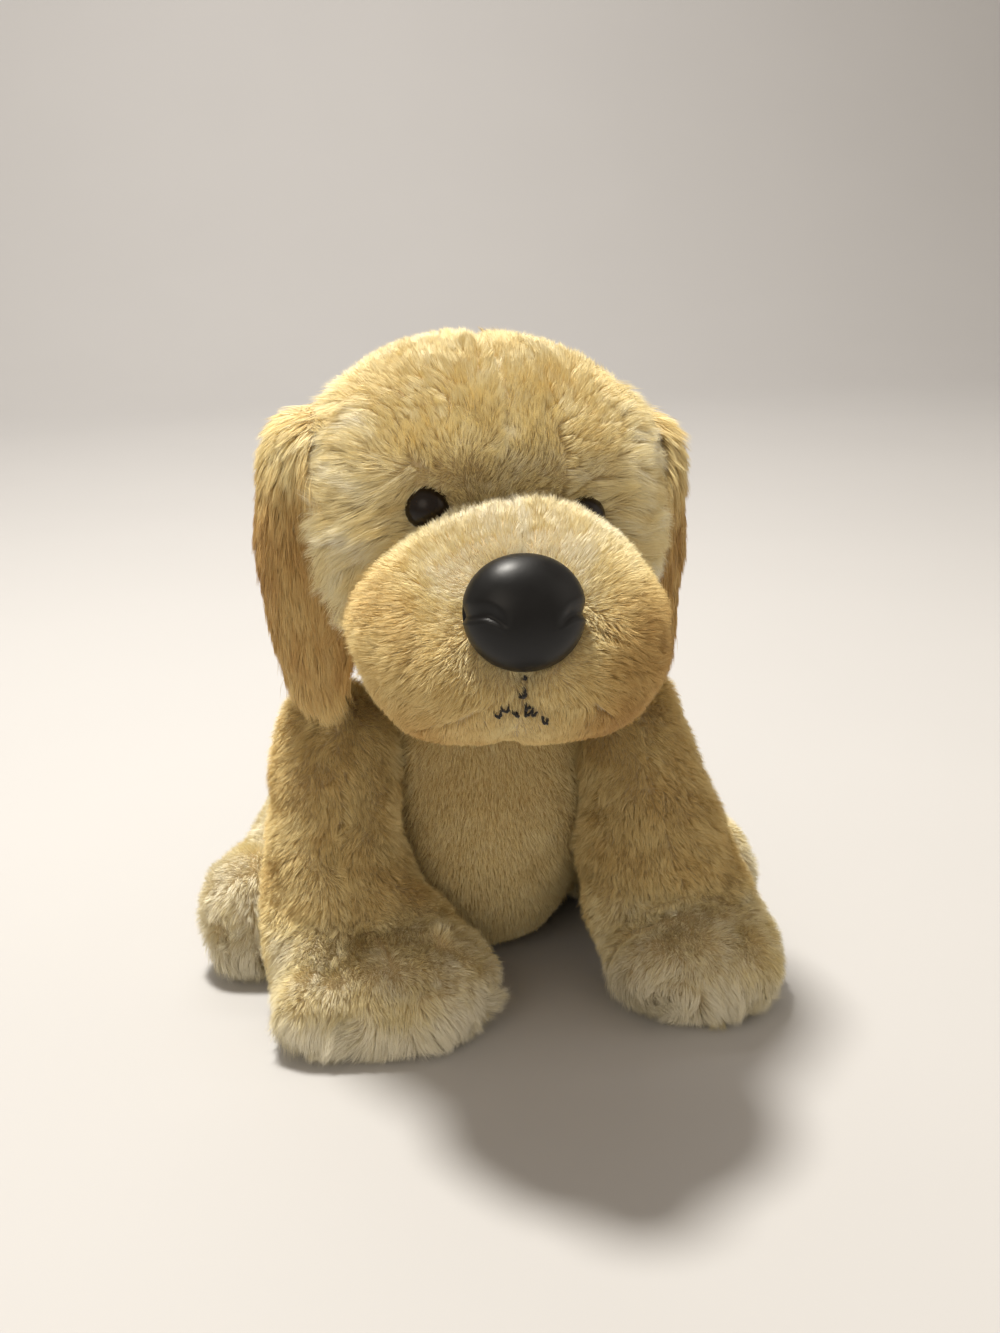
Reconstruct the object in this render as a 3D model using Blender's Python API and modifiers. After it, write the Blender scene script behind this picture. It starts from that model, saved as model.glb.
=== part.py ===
"""Sitting plush dog: sewn pile-fabric covers as open shells, the filling inside them, and the hard safety nose and eyes.
Metres, +Z up. The dog faces -Y and +X is the dog's left side."""
import math

import bmesh
import bpy
import numpy as np
from mathutils import Matrix, Vector
from mathutils.bvhtree import BVHTree

MM = 0.001

# Driving dimensions, mm
COVER = 1.6             # pile fabric: knitted backing and the dense foot of the pile
GAP = 0.35              # between neighbouring pieces
SEAM = 0.4              # half of it lies on each side of a seam line
CLOSING = 2.6           # half width of the small gathered opening where a cover's panels end
HEAD_SHIFT = -6.0       # the soft neck lets the head sit a little to the dog's right
HEAD_YAW = 2.0          # degrees
HEAD_ROLL = 2.5         # degrees, the dog's left ear lower
HEAD_MIDDLE = (0, -10, 130)
FRAME_SHIFT_Y = -9.45  # puts the middle of the bounding box on the origin
FRAME_SHIFT_X = 0.0
NECK = (-1.5, 1.0, 95.5)
EAR_HINGE = (42.0, -8.0, 163.5)
EYE = (19.0, -46.0, 146.8)
EYE_R = 5.6
NOSE = (-4.0, -83.0, 131.0)
NOSE_W, NOSE_H, NOSE_D = 13.6, 12.8, 9.5

# Rings of each stuffed body: centre x, y, z, half width across, half width the other way
TORSO = [
    (0, 46, 0.0, 2, 3), (0, 46, 0.0, 15, 20), (0, 46, 1.5, 21, 27), (0, 45, 6, 25, 34), (0, 43, 15, 29, 40),
    (0, 40, 30, 34, 44), (0, 35, 48, 37, 43.5), (0, 27, 65, 36, 36.5), (0, 18, 78, 30.5, 28),
    (0, 12, 86, 23.5, 21), (0, 8.5, 90.5, 15.5, 14), (0, 7, 92.6, 7, 7),
]
HEAD = [
    (0, -9, 97.6, 8, 8), (0, -10, 99.2, 17, 16), (0, -10, 103, 26, 24), (0, -10, 110, 34, 31.5), (0, -10, 120, 39.5, 36.5),
    (0, -10, 132, 42, 38.5), (0, -10, 146, 42.3, 38.5), (0, -9.5, 158, 40, 37), (0, -9, 168, 35, 33),
    (0, -9, 176, 26.5, 25.5), (0, -9, 180.8, 15.5, 15), (0, -9, 182.3, 7, 7), (0, -9, 182.7, 1.2, 1.2),
]
MUZZLE = [
    (0, -30, 119, 32, 24), (0, -40, 119, 35.5, 25.8), (-0.3, -52, 119, 36.5, 26.5), (-1.0, -63, 119.5, 33.5, 25),
    (-2.4, -72, 121, 27.5, 21.5), (-3.5, -78.5, 123, 19, 15.5), (-4, -81.8, 124.5, 10, 8.4), (-4, -82.8, 125, 1.5, 1.3),
]
LEG_R = [
    (-43.5, 8, 88.2, 4.5, 4.5), (-43.5, 7.5, 85.5, 9.5, 9.5), (-43.8, 6.5, 80, 13.5, 13.5), (-44.2, 4, 70, 15.5, 16), (-45, 1, 55, 16.5, 16.8),
    (-45.5, -3, 40, 18, 16.5), (-43.5, -9, 27, 21.5, 16), (-39.5, -17, 17.5, 26, 15), (-36, -27, 14, 29, 14.2),
    (-34.5, -35, 13, 26.5, 13), (-34, -40, 12.3, 18.5, 9.8), (-34, -42.4, 12, 8.5, 4.6), (-34, -42.9, 12, 1.6, 1.0),
]
LEG_L = [
    (37.5, 9, 88.2, 4.5, 4.5), (37.8, 8.5, 85.5, 9.5, 9.5), (38.2, 7.5, 80, 13.5, 13.5), (39.2, 5, 70, 15.5, 16), (42, 1, 55, 17.2, 16.8),
    (45.5, -3, 40, 20, 17), (48.3, -9, 27, 22, 16), (50.5, -17, 17.5, 23, 15), (51, -27, 14, 23, 14),
    (49.5, -35, 12.8, 19.5, 12.5), (48.5, -40, 12, 13.5, 9.2), (48, -42.4, 11.8, 6.5, 4.2), (48, -42.9, 11.8, 1.4, 1.0),
]
HIND = [
    (37, 85, 22, 5, 5), (37.5, 83, 22, 12, 11.5), (38.5, 77, 22.5, 18.5, 17.5), (40, 67, 23, 22.5, 21),
    (42, 55, 23, 23.5, 21), (46, 43, 21.5, 22.5, 20), (55.5, 32, 19, 18, 18), (63.5, 23.5, 17.5, 16, 17),
    (67.2, 16, 18, 15.6, 17.5), (68.8, 11, 18.5, 13.2, 15), (69.4, 8.6, 18.7, 9, 10), (69.6, 7.4, 18.8, 4, 4.5), (69.6, 7.0, 18.8, 1.2, 1.3),
]
TAIL = [
    (0, 86, 15, 5, 5), (0, 88, 15, 8.2, 8.2), (0, 92, 14.6, 9.6, 9.8), (0, 98, 13.6, 9.4, 9.4), (0, 104, 12.6, 8.6, 8.4),
    (0, 109, 12.4, 6.8, 6.6), (0, 111.4, 12.4, 3.2, 3.2), (0, 112, 12.4, 1.0, 1.0),
]

for old in list(bpy.data.objects):
    bpy.data.objects.remove(old, do_unlink=True)
PARTS = bpy.data.collections.new("plush_dog")
CUTTERS = bpy.data.collections.new("plush_dog_cutters")
bpy.context.scene.collection.children.link(PARTS)
bpy.context.scene.collection.children.link(CUTTERS)
CUTTERS.hide_render = True


# ---------------------------------------------------------------- materials
def material(name, colour, roughness, metallic=0.0):
    made = bpy.data.materials.new(name)
    made.use_nodes = True
    shader = made.node_tree.nodes["Principled BSDF"]
    shader.inputs["Base Color"].default_value = (*colour, 1.0)
    shader.inputs["Roughness"].default_value = roughness
    shader.inputs["Metallic"].default_value = metallic
    made.diffuse_color = (*colour, 1.0)
    return made


CREAM = (0.74, 0.58, 0.33)
TONES = {
    "pile_cream": (CREAM, 0.9),
    "pile_crown": ((0.78, 0.64, 0.38), 0.9),
    "pile_cheek": ((0.76, 0.64, 0.42), 0.88),
    "pile_muzzle": ((0.76, 0.60, 0.33), 0.9),
    "pile_chin": ((0.80, 0.70, 0.50), 0.9),
    "pile_belly": ((0.78, 0.69, 0.50), 0.92),
    "pile_ear": ((0.62, 0.41, 0.18), 0.85),
    "pile_ear_lining": ((0.70, 0.52, 0.28), 0.9),
    "pile_leg": ((0.74, 0.58, 0.32), 0.9),
    "pile_paw": ((0.72, 0.57, 0.33), 0.9),
    "pile_tail": ((0.72, 0.54, 0.29), 0.9),
    "filling": ((0.90, 0.89, 0.86), 0.95),
    "beans": ((0.80, 0.79, 0.74), 0.6),
    "nose_black": ((0.012, 0.012, 0.013), 0.38),
    "eye_black": ((0.008, 0.006, 0.005), 0.12),
    "washer_white": ((0.82, 0.82, 0.80), 0.5),
    "thread_black": ((0.02, 0.018, 0.016), 0.8),
    "thread_cream": ((0.74, 0.62, 0.40), 0.85),
}


# ---------------------------------------------------------------- surfaces
def spline(rows, count):
    """Catmull-Rom through the rings, `count` samples spaced by arc length and ring change."""
    rows = np.array(rows, float)
    step = np.linalg.norm(np.diff(rows, axis=0), axis=1)
    at = np.concatenate([[0], np.cumsum(step)])
    at /= at[-1]
    slope = np.empty_like(rows)
    slope[1:-1] = (rows[2:] - rows[:-2]) / (at[2:] - at[:-2])[:, None]
    slope[0] = (rows[1] - rows[0]) / (at[1] - at[0])
    slope[-1] = (rows[-1] - rows[-2]) / (at[-1] - at[-2])
    want = np.linspace(0, 1, count)
    k = np.clip(np.searchsorted(at, want, side="right") - 1, 0, len(at) - 2)
    h = (at[k + 1] - at[k])[:, None]
    t = ((want - at[k])[:, None]) / h
    return (
        (2 * t**3 - 3 * t**2 + 1) * rows[k] + (t**3 - 2 * t**2 + t) * h * slope[k]
        + (-2 * t**3 + 3 * t**2) * rows[k + 1] + (t**3 - t**2) * h * slope[k + 1]
    )


def surface(rows, angles, count, inset=0.0, floor=True, fatter=2.0):
    """Points of a lofted body as a (ring, angle) grid. Angle 0 is the body's front or top, and it turns towards +X."""
    full = spline(rows, count)
    centre, a, b = full[:, :3], full[:, 3], full[:, 4]
    tangent = np.gradient(centre, axis=0)
    tangent /= np.linalg.norm(tangent, axis=1)[:, None]
    upright = abs(rows[-1][2] - rows[0][2]) > 60 and abs(rows[-1][1] - rows[0][1]) < 60 and abs(rows[-1][0]) < 1
    if upright:
        tangent[:] = (0, 0, 1)
    side = np.cross(tangent, np.cross(np.broadcast_to((1.0, 0, 0), tangent.shape), tangent))
    side /= np.linalg.norm(side, axis=1)[:, None]
    other = np.cross(tangent, side) * (-1.0 if rows[-1][1] > rows[0][1] + 5 else 1.0)
    if upright:
        other = np.broadcast_to((0, -1.0, 0), tangent.shape)
    power = 2.0 / fatter
    angles = np.asarray(angles, float)
    s, c = np.sin(angles), np.cos(angles)
    s = np.sign(s) * np.abs(s) ** power
    c = np.sign(c) * np.abs(c) ** power
    def grid(aa, bb, cc):
        return cc[:, None] + (aa[:, None] * s)[..., None] * side[:, None] + (bb[:, None] * c)[..., None] * other[:, None]
    points = grid(a, b, centre)
    if inset:
        fine = np.linspace(0, 2 * math.pi, 97)[:-1]
        du = 1e-3
        s0, c0 = s, c
        # normals from the analytic grid, taken a hair apart in angle and along the rings
        s1, c1 = np.sin(angles + du), np.cos(angles + du)
        s = np.sign(s1) * np.abs(s1) ** power
        c = np.sign(c1) * np.abs(c1) ** power
        ahead = grid(a, b, centre)
        s, c = s0, c0
        around = ahead - points
        along = np.gradient(points, axis=0)
        normal = np.cross(around, along)
        normal /= np.maximum(np.linalg.norm(normal, axis=2), 1e-12)[..., None]
        outward = points - centre[:, None]
        flip = np.sign((normal * outward).sum(axis=(1, 2)))
        flip[flip == 0] = 1
        normal *= flip[:, None, None]
        points = points - inset * normal
    if floor:
        points[..., 2] = np.maximum(points[..., 2], inset)
    return points


def mesh_object(name, points, faces, tone, collection=None, smooth=True):
    mesh = bpy.data.meshes.new(name)
    mesh.from_pydata([tuple(p) for p in np.asarray(points) * MM], [], faces)
    mesh.validate()
    build = bmesh.new()
    build.from_mesh(mesh)
    bmesh.ops.remove_doubles(build, verts=build.verts, dist=1e-6)
    bmesh.ops.recalc_face_normals(build, faces=build.faces)
    if build.calc_volume(signed=True) < 0:
        bmesh.ops.reverse_faces(build, faces=build.faces)
    build.to_mesh(mesh)
    build.free()
    if smooth:
        for polygon in mesh.polygons:
            polygon.use_smooth = True
    made = bpy.data.objects.new(name, mesh)
    (collection or PARTS).objects.link(made)
    if tone:
        colour, rough = TONES[tone]
        made.data.materials.append(material(name + "_mat", colour, rough))
    return made


def slab(outer, inner, wrap=False):
    """Closed body between two equal grids: both skins and the rims round them."""
    rows, cols = outer.shape[:2]
    points = np.concatenate([outer.reshape(-1, 3), inner.reshape(-1, 3)])
    n = rows * cols
    at = lambda r, c: r * cols + (c % cols if wrap else c)
    faces = []
    last = cols if wrap else cols - 1
    for r in range(rows - 1):
        for c in range(last):
            quad = (at(r, c), at(r, c + 1), at(r + 1, c + 1), at(r + 1, c))
            faces.append(quad)
            faces.append(tuple(n + q for q in reversed(quad)))
    for c in range(last):
        for r in (0, rows - 1):
            quad = (at(r, c), at(r, c + 1), n + at(r, c + 1), n + at(r, c))
            faces.append(quad if r else tuple(reversed(quad)))
    if not wrap:
        for r in range(rows - 1):
            for c in (0, cols - 1):
                quad = (at(r, c), at(r + 1, c), n + at(r + 1, c), n + at(r, c))
                faces.append(tuple(reversed(quad)) if c else quad)
    return points, faces


def solid(grid):
    """Closed body from a full ring grid: the ends are fans."""
    rows, cols = grid.shape[:2]
    points = list(grid.reshape(-1, 3)) + [grid[0].mean(axis=0), grid[-1].mean(axis=0)]
    faces = []
    for r in range(rows - 1):
        for c in range(cols):
            d = (c + 1) % cols
            faces.append((r * cols + c, r * cols + d, (r + 1) * cols + d, (r + 1) * cols + c))
    for c in range(cols):
        d = (c + 1) % cols
        faces.append((rows * cols, c, d))
        faces.append((rows * cols + 1, (rows - 1) * cols + d, (rows - 1) * cols + c))
    return np.array(points), faces


def turned(points, matrix):
    points = np.asarray(points, float)
    m = np.array(matrix)
    return points @ m[:3, :3].T + m[:3, 3]


HEAD_POSE = (
    Matrix.Translation((HEAD_SHIFT, 0, 0)) @ Matrix.Rotation(math.radians(HEAD_YAW), 4, "Z")
    @ Matrix.Translation(HEAD_MIDDLE) @ Matrix.Rotation(math.radians(HEAD_ROLL), 4, "Y") @ Matrix.Translation([-v for v in HEAD_MIDDLE])
)
MIRROR = Matrix.Scale(-1, 4, (1, 0, 0))


def arc(start, end, count):
    return np.radians(np.linspace(start, end, count))


def sheet(name, grid, thickness, tone, pose=None, flip=False, offset=-1.0):
    """Open surface of a (row, column) grid whose normals face outward, given its thickness by Solidify."""
    points = turned(grid.reshape(-1, 3), pose) if pose is not None else grid.reshape(-1, 3)
    points = turned(points, MIRROR) if flip else points
    rows, cols = grid.shape[:2]
    faces = [(r * cols + c, r * cols + c + 1, (r + 1) * cols + c + 1, (r + 1) * cols + c) for r in range(rows - 1) for c in range(cols - 1)]
    middle = points.mean(axis=0)
    facing = 0.0
    for face in faces:
        p = points[list(face)]
        facing += np.dot(np.cross(p[2] - p[0], p[3] - p[1]), p.mean(axis=0) - OUT_FROM.get(name, middle))
    if facing < 0:
        faces = [tuple(reversed(face)) for face in faces]
    mesh = bpy.data.meshes.new(name)
    mesh.from_pydata([tuple(p) for p in points * MM], [], faces)
    mesh.shade_smooth()
    made = bpy.data.objects.new(name, mesh)
    PARTS.objects.link(made)
    mesh.materials.append(material(name + "_mat", *TONES[tone]))
    cloth = made.modifiers.new("cloth", "SOLIDIFY")
    cloth.thickness, cloth.offset = thickness * MM, offset
    cloth.use_even_offset, cloth.use_rim = True, True
    return made


OUT_FROM = {}


def cover(name, rows, start, end, tone, across=7, along=12, pose=None, fatter=2.0, lo=0, hi=None, flip=False):
    """One sewn panel: the part of the body's skin between two seam angles, in degrees."""
    turns = np.radians(np.concatenate([[start, start + 5], np.linspace(start, end, across)[1:-1], [end - 5, end]]))
    rows = [(*row[:3], max(row[3], CLOSING), max(row[4], CLOSING)) for row in rows]
    grid = surface(rows, turns, along, 0.0, fatter=fatter)[lo:hi]
    # seam clearance: both edges come in by half the gap, along the panel
    for edge, nxt in ((0, 1), (-1, -2)):
        way = grid[:, nxt] - grid[:, edge]
        length = np.maximum(np.linalg.norm(way, axis=1), 1e-9)
        grid[:, edge] += way * np.minimum(SEAM / 2 / length, 0.6)[:, None]
    inside = np.array([[row[0], row[1], row[2]] for row in rows]).mean(axis=0)
    inside = turned(inside[None], pose)[0] if pose is not None else inside
    OUT_FROM[name] = turned(inside[None], MIRROR)[0] if flip else inside
    return sheet(name, grid, COVER, tone, pose, flip)


FILL = COVER + GAP + 0.55


def fill(name, rows, inset, tone, around=14, along=12, pose=None, fatter=2.0, flip=False, lo=0, hi=None, collection=None):
    grid = surface(rows, np.linspace(0, 2 * math.pi, around + 1)[:-1], along, inset, fatter=fatter)[lo:hi]
    points, faces = solid(grid)
    points = turned(points, pose) if pose is not None else points
    points = turned(points, MIRROR) if flip else points
    return mesh_object(name, points, faces, tone, collection)


def realised(made):
    """The object's evaluated mesh, with its modifiers applied."""
    bpy.context.view_layer.update()
    graph = bpy.context.evaluated_depsgraph_get()
    mesh = bpy.data.meshes.new_from_object(made.evaluated_get(graph))
    bpy.data.objects.remove(made, do_unlink=True)
    return mesh


def screwed(profile, closed, around):
    """The profile's (radius, height) pairs in mm, turned once round Z."""
    mesh = bpy.data.meshes.new("profile")
    edges = [(k, k + 1) for k in range(len(profile) - 1)] + ([(len(profile) - 1, 0)] if closed else [])
    mesh.from_pydata([(r * MM, 0.0, h * MM) for r, h in profile], edges, [])
    made = bpy.data.objects.new("profile", mesh)
    PARTS.objects.link(made)
    screw = made.modifiers.new("turn", "SCREW")
    screw.axis, screw.angle = "Z", 2 * math.pi
    screw.steps = screw.render_steps = around
    screw.use_merge_vertices, screw.merge_threshold = True, 1e-5
    return realised(made)


def placed(name, mesh, matrix, tone, collection=None):
    """An object of this mesh (metres), moved by a matrix in mm and closed with its faces outward."""
    build = bmesh.new()
    build.from_mesh(mesh)
    bmesh.ops.remove_doubles(build, verts=build.verts, dist=1e-6)
    bmesh.ops.recalc_face_normals(build, faces=build.faces)
    if build.calc_volume(signed=True) < 0:
        bmesh.ops.reverse_faces(build, faces=build.faces)
    build.to_mesh(mesh)
    build.free()
    move = Matrix(matrix)
    move.translation = move.translation * MM
    mesh.transform(move)
    mesh.shade_smooth()
    mesh.name = name
    made = bpy.data.objects.new(name, mesh)
    (collection or PARTS).objects.link(made)
    if tone:
        made.data.materials.clear()
        made.data.materials.append(material(name + "_mat", *TONES[tone]))
    return made


def lathe(profile, tone, name, matrix, around=20, collection=None):
    """Turned body: the profile's (radius, height) pairs run from its lower end to its upper one, and both ends close on the axis."""
    line = [(0.0, profile[0][1])] + list(profile) + [(0.0, profile[-1][1])]
    return placed(name, screwed(line, False, around), matrix, tone, collection)


def ring_body(inner, outer, low, high, tone, name, matrix, around=18):
    return placed(name, screwed([(inner, low), (outer, low), (outer, high), (inner, high)], True, around), matrix, tone)


def helper(made):
    made.hide_render = True
    made.display_type = "WIRE"
    return made


def cut(made, *cutters, operation="DIFFERENCE", own_crossings=False):
    for cutter in cutters:
        modifier = made.modifiers.new("cut_" + cutter.name, "BOOLEAN")
        modifier.operation = operation
        modifier.object = cutter
        modifier.solver = "EXACT"
        modifier.use_self = own_crossings


def thread(name, points, radius, tone, loop=False):
    """A sewn thread: a round tube along the points."""
    curve = bpy.data.curves.new(name, "CURVE")
    curve.dimensions = "3D"
    curve.bevel_depth, curve.bevel_resolution, curve.use_fill_caps = radius * MM, 2, True
    line = curve.splines.new("POLY")
    line.points.add(len(points) - 1)
    line.use_cyclic_u, line.use_smooth = loop, True
    for point, place in zip(line.points, points):
        point.co = (*(float(value) * MM for value in place), 1.0)
    made = bpy.data.objects.new(name, curve)
    PARTS.objects.link(made)
    curve.materials.append(material(name + "_mat", *TONES[tone]))
    return made


# ---------------------------------------------------------------- cutters: the outsides that neighbours are trimmed to
def grown(name, rows, by, **more):
    return helper(fill(name, rows, -by, None, collection=CUTTERS, **more))


head_cut = grown("head_room", HEAD, GAP + 0.35, around=28, along=20, pose=HEAD_POSE, fatter=2.25)
muzzle_cut = grown("muzzle_room", MUZZLE, GAP + 0.25, around=26, along=16, pose=HEAD_POSE)


def swept(name, rows, pivot, axis, angles, by=0.9):
    """Room for the torso as a leg meets it: the hull of the torso turned about the leg's own joint, both ways round."""
    build = bmesh.new()
    for angle in angles:
        # the leg turning by +angle meets the torso turned by -angle
        turn = Matrix.Translation(pivot) @ Matrix.Rotation(math.radians(-angle), 4, Vector(axis)) @ Matrix.Translation(-Vector(pivot))
        grid = surface(rows, np.linspace(0, 2 * math.pi, 19)[:-1], 14, -by)
        for point in turned(grid.reshape(-1, 3), turn):
            build.verts.new(point * MM)
    hull = bmesh.ops.convex_hull(build, input=build.verts, use_existing_faces=False)
    spare = {v for v in hull["geom_interior"] + hull["geom_unused"] if isinstance(v, bmesh.types.BMVert)}
    bmesh.ops.delete(build, geom=[v for v in build.verts if v in spare], context="VERTS")
    bmesh.ops.delete(build, geom=[v for v in build.verts if not v.link_faces], context="VERTS")
    bmesh.ops.recalc_face_normals(build, faces=build.faces)
    if build.calc_volume(signed=True) < 0:
        bmesh.ops.reverse_faces(build, faces=build.faces)
    mesh = bpy.data.meshes.new(name)
    build.to_mesh(mesh)
    build.free()
    made = bpy.data.objects.new(name, mesh)
    CUTTERS.objects.link(made)
    return [helper(made)]


# ---------------------------------------------------------------- torso
SHOULDER_R, SHOULDER_L = Vector((-44, 6, 78)), Vector((38.5, 7, 78))
HIP_L, HIP_R = Vector((40, 66, 24)), Vector((-40, 66, 24))
cover("belly_panel", TORSO, -52, 52, "pile_belly", across=7, along=12)
cover("back_panel_left", TORSO, 52, 180, "pile_cream", across=8, along=12)
cover("back_panel_right", TORSO, 180, 308, "pile_cream", across=8, along=12)
torso_fill = fill("torso_filling", TORSO, FILL + 0.6, "filling", around=16, along=12)
POUCH = [(0, 46, 2.6, 8, 12), (0, 46, 3.9, 14.5, 19.5), (0, 45.5, 8, 19.5, 26), (0, 45, 13, 21, 28), (0, 44.5, 18, 17, 23), (0, 44, 21.5, 9, 13)]
fill("bean_pouch", POUCH, 0.0, "beans", around=14, along=8)
cut(torso_fill, grown("pouch_room", POUCH, GAP, around=14, along=8))

# ---------------------------------------------------------------- neck seam
NECK_TURN = 25          # degrees each way, which the seam stays clear of the torso through
torso_fine = spline(TORSO, 240)


def torso_height(x, y):
    return [row for row in torso_fine if (x / row[3]) ** 2 + ((y - row[1]) / row[4]) ** 2 <= 1.0][-1][2]


seam_line = []
for u in np.linspace(0, 2 * math.pi, 25)[:-1]:
    x, y = 11.5 * math.cos(u), 2.0 + 11.0 * math.sin(u)
    turns = np.radians(np.linspace(-NECK_TURN, NECK_TURN, 11))
    under = [torso_height(NECK[0] + x * math.cos(t) - y * math.sin(t), NECK[1] + x * math.sin(t) + y * math.cos(t)) for t in turns]
    seam_line.append((NECK[0] + x, NECK[1] + y, max(under) + 1.25))
thread("neck_seam", seam_line, 0.55, "thread_cream", loop=True)

# ---------------------------------------------------------------- head
gusset = cover("head_gusset", HEAD, -17, 17, "pile_crown", across=4, along=14, pose=HEAD_POSE, fatter=2.25)
side_l = cover("head_side_left", HEAD, 17, 180, "pile_cheek", across=10, along=14, pose=HEAD_POSE, fatter=2.25)
side_r = cover("head_side_right", HEAD, 180, 343, "pile_cheek", across=10, along=14, pose=HEAD_POSE, fatter=2.25)
head_fill = fill("head_filling", HEAD, FILL, "filling", around=17, along=12, pose=HEAD_POSE, fatter=2.25)

muz_l = cover("muzzle_panel_left", MUZZLE, 0, 128, "pile_muzzle", across=8, along=9, pose=HEAD_POSE)
muz_r = cover("muzzle_panel_right", MUZZLE, 232, 360, "pile_muzzle", across=8, along=9, pose=HEAD_POSE)
chin = cover("chin_panel", MUZZLE, 128, 232, "pile_chin", across=7, along=9, pose=HEAD_POSE)
muzzle_fill = fill("muzzle_filling", MUZZLE, FILL, "filling", around=14, along=9, pose=HEAD_POSE)
cut(muz_l, head_cut)
cut(muz_r, head_cut)
cut(chin, head_cut)
cut(muzzle_fill, head_cut)

# safety nose: a domed shell of three soft corners, its stem, and the washer that locks it inside the cover
nose_pose = HEAD_POSE @ Matrix.Translation(NOSE) @ Matrix.Rotation(math.radians(-13), 4, "X")
rows = []
for k, (depth, size) in enumerate([(3.0, 0.62), (2.4, 0.86), (0.6, 0.985), (-1.6, 1.0), (-4.2, 0.93), (-6.6, 0.76), (-8.4, 0.52), (-9.3, 0.24)]):
    turn = np.linspace(0, 2 * math.pi, 21)[:-1]
    up = np.cos(turn)
    across = np.sin(turn) * (1.0 + 0.10 * up - 0.06 * up**2)
    rows.append(np.stack([NOSE_W * size * across, np.full(20, depth), NOSE_H * size * up * 1.0 - 0.6 * size * (1 - np.abs(up))], 1))
nose_points, nose_faces = solid(np.array(rows))
nose = mesh_object("nose", turned(nose_points, nose_pose), nose_faces, "nose_black")
cut(nose, muzzle_cut)
STEM = nose_pose @ Matrix.Rotation(math.radians(-90), 4, "X")
nose_stem = helper(lathe([(2.4, -2.0), (2.4, 13.0)], None, "nose_stem_shape", STEM, around=12, collection=CUTTERS))
cut(nose, nose_stem, operation="UNION")
nose_hole = helper(lathe([(2.8, -6.0), (2.8, 14.0)], None, "nose_stem_way", STEM, around=12, collection=CUTTERS))
for panel in (muz_l, muz_r, chin, muzzle_fill):
    cut(panel, nose_hole)
ring_body(2.7, 5.4, 8.8, 10.0, "washer_white", "nose_washer", STEM)
washer_room = helper(lathe([(6.0, 8.2), (6.0, 10.6)], None, "nose_washer_room", STEM, around=14, collection=CUTTERS))
cut(muzzle_fill, washer_room)

# eyes
for name, sign in (("left", 1), ("right", -1)):
    normal = Vector((sign * 0.40, -0.90, 0.10)).normalized()
    place = Vector((sign * EYE[0], EYE[1], EYE[2]))
    look = normal.to_track_quat("Z", "Y").to_matrix().to_4x4()
    pose = HEAD_POSE @ Matrix.Translation(place) @ look
    dome = [(EYE_R * 0.8, -0.6), (EYE_R, 0.2), (EYE_R * 0.96, 1.4), (EYE_R * 0.82, 2.6), (EYE_R * 0.55, 3.6), (EYE_R * 0.25, 4.0)]
    eye = lathe(dome, "eye_black", f"eye_{name}", pose, around=14)
    cut(eye, head_cut, muzzle_cut)
    cut(eye, helper(lathe([(1.6, -7.5), (1.6, 1.5)], None, f"eye_stem_{name}", pose, around=10, collection=CUTTERS)), operation="UNION")
    way = helper(lathe([(2.0, -8.5), (2.0, 2.0)], None, f"eye_way_{name}", pose, around=10, collection=CUTTERS))
    for piece in (side_l if sign > 0 else side_r, head_fill):
        cut(piece, way)
    ring_body(1.8, 4.6, -5.3, -4.2, "washer_white", f"eye_washer_{name}", pose, around=14)
    room = helper(lathe([(5.0, -5.8), (5.0, -3.4)], None, f"eye_washer_room_{name}", pose, around=14, collection=CUTTERS))
    cut(head_fill, room)

# stitched mouth, just proud of the muzzle cover
muzzle_tree = BVHTree.FromPolygons([v.co / MM for v in muzzle_cut.data.vertices], [tuple(f.vertices) for f in muzzle_cut.data.polygons])


def stitch(name, pairs, radius=0.45):
    """A thread on the muzzle's outside, along points given across and up in the head's own frame."""
    line = []
    for x, z in pairs:
        start = HEAD_POSE @ Vector((x, -120.0, z))
        way = HEAD_POSE.to_3x3() @ Vector((0, 1.0, 0))
        place, normal, _, _ = muzzle_tree.ray_cast(start, way)
        line.append(np.array(place + (radius + 0.25) * normal))
    thread(name, line, radius, "thread_black")


stitch("mouth_stitch_centre", [(NOSE[0], z) for z in np.linspace(115.6, 106.2, 6)])
stitch("mouth_stitch_left", [(NOSE[0] + 1.2 + 5.8 * t, 105.2 - 3.6 * t ** 0.8) for t in np.linspace(0, 1, 6)])
stitch("mouth_stitch_right", [(NOSE[0] - 1.2 - 5.8 * t, 105.2 - 3.6 * t ** 0.8) for t in np.linspace(0, 1, 6)])

# ---------------------------------------------------------------- ears
EAR_LINE = [(0.0, 42.2, 163.5, 13.5), (0.1, 47.6, 160.5, 15.5), (0.22, 51.6, 153.5, 17.6), (0.4, 53.4, 141, 19.5),
            (0.6, 53.2, 127, 19.6), (0.8, 51.6, 112.5, 16.5), (0.93, 50, 102.5, 10.5), (1.0, 49.2, 97, 4.0)]


def ear_grid(depth, across=7, along=9):
    line = spline([row[1:] for row in EAR_LINE], along)
    s = np.linspace(-1, 1, across)
    x, z, w = line[:, 0], line[:, 1], line[:, 2]
    centre_y = -8 - 3.0 * (163.5 - z) / 66.0
    pts = np.empty((along, across, 3))
    for i in range(along):
        off = s * w[i]
        lean = 0.16 * (1 - math.exp(-i * 8 / (along - 1) / 2.5))
        wrap = np.where(off < 0, 0.0075 + 0.012 * min(1.0, i / (along - 1) / 0.4), 0.0075)
        pts[i] = np.stack([x[i] + lean * off - wrap * off**2, centre_y[i] + off, np.full(across, z[i]) - 0.006 * off**2 * (i == 0)], 1)
    du = np.gradient(pts, axis=1)
    dv = np.gradient(pts, axis=0)
    normal = np.cross(du, dv)
    normal /= np.linalg.norm(normal, axis=2)[..., None]
    normal *= np.sign(normal[..., 0].mean())
    return pts + depth * normal


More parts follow.
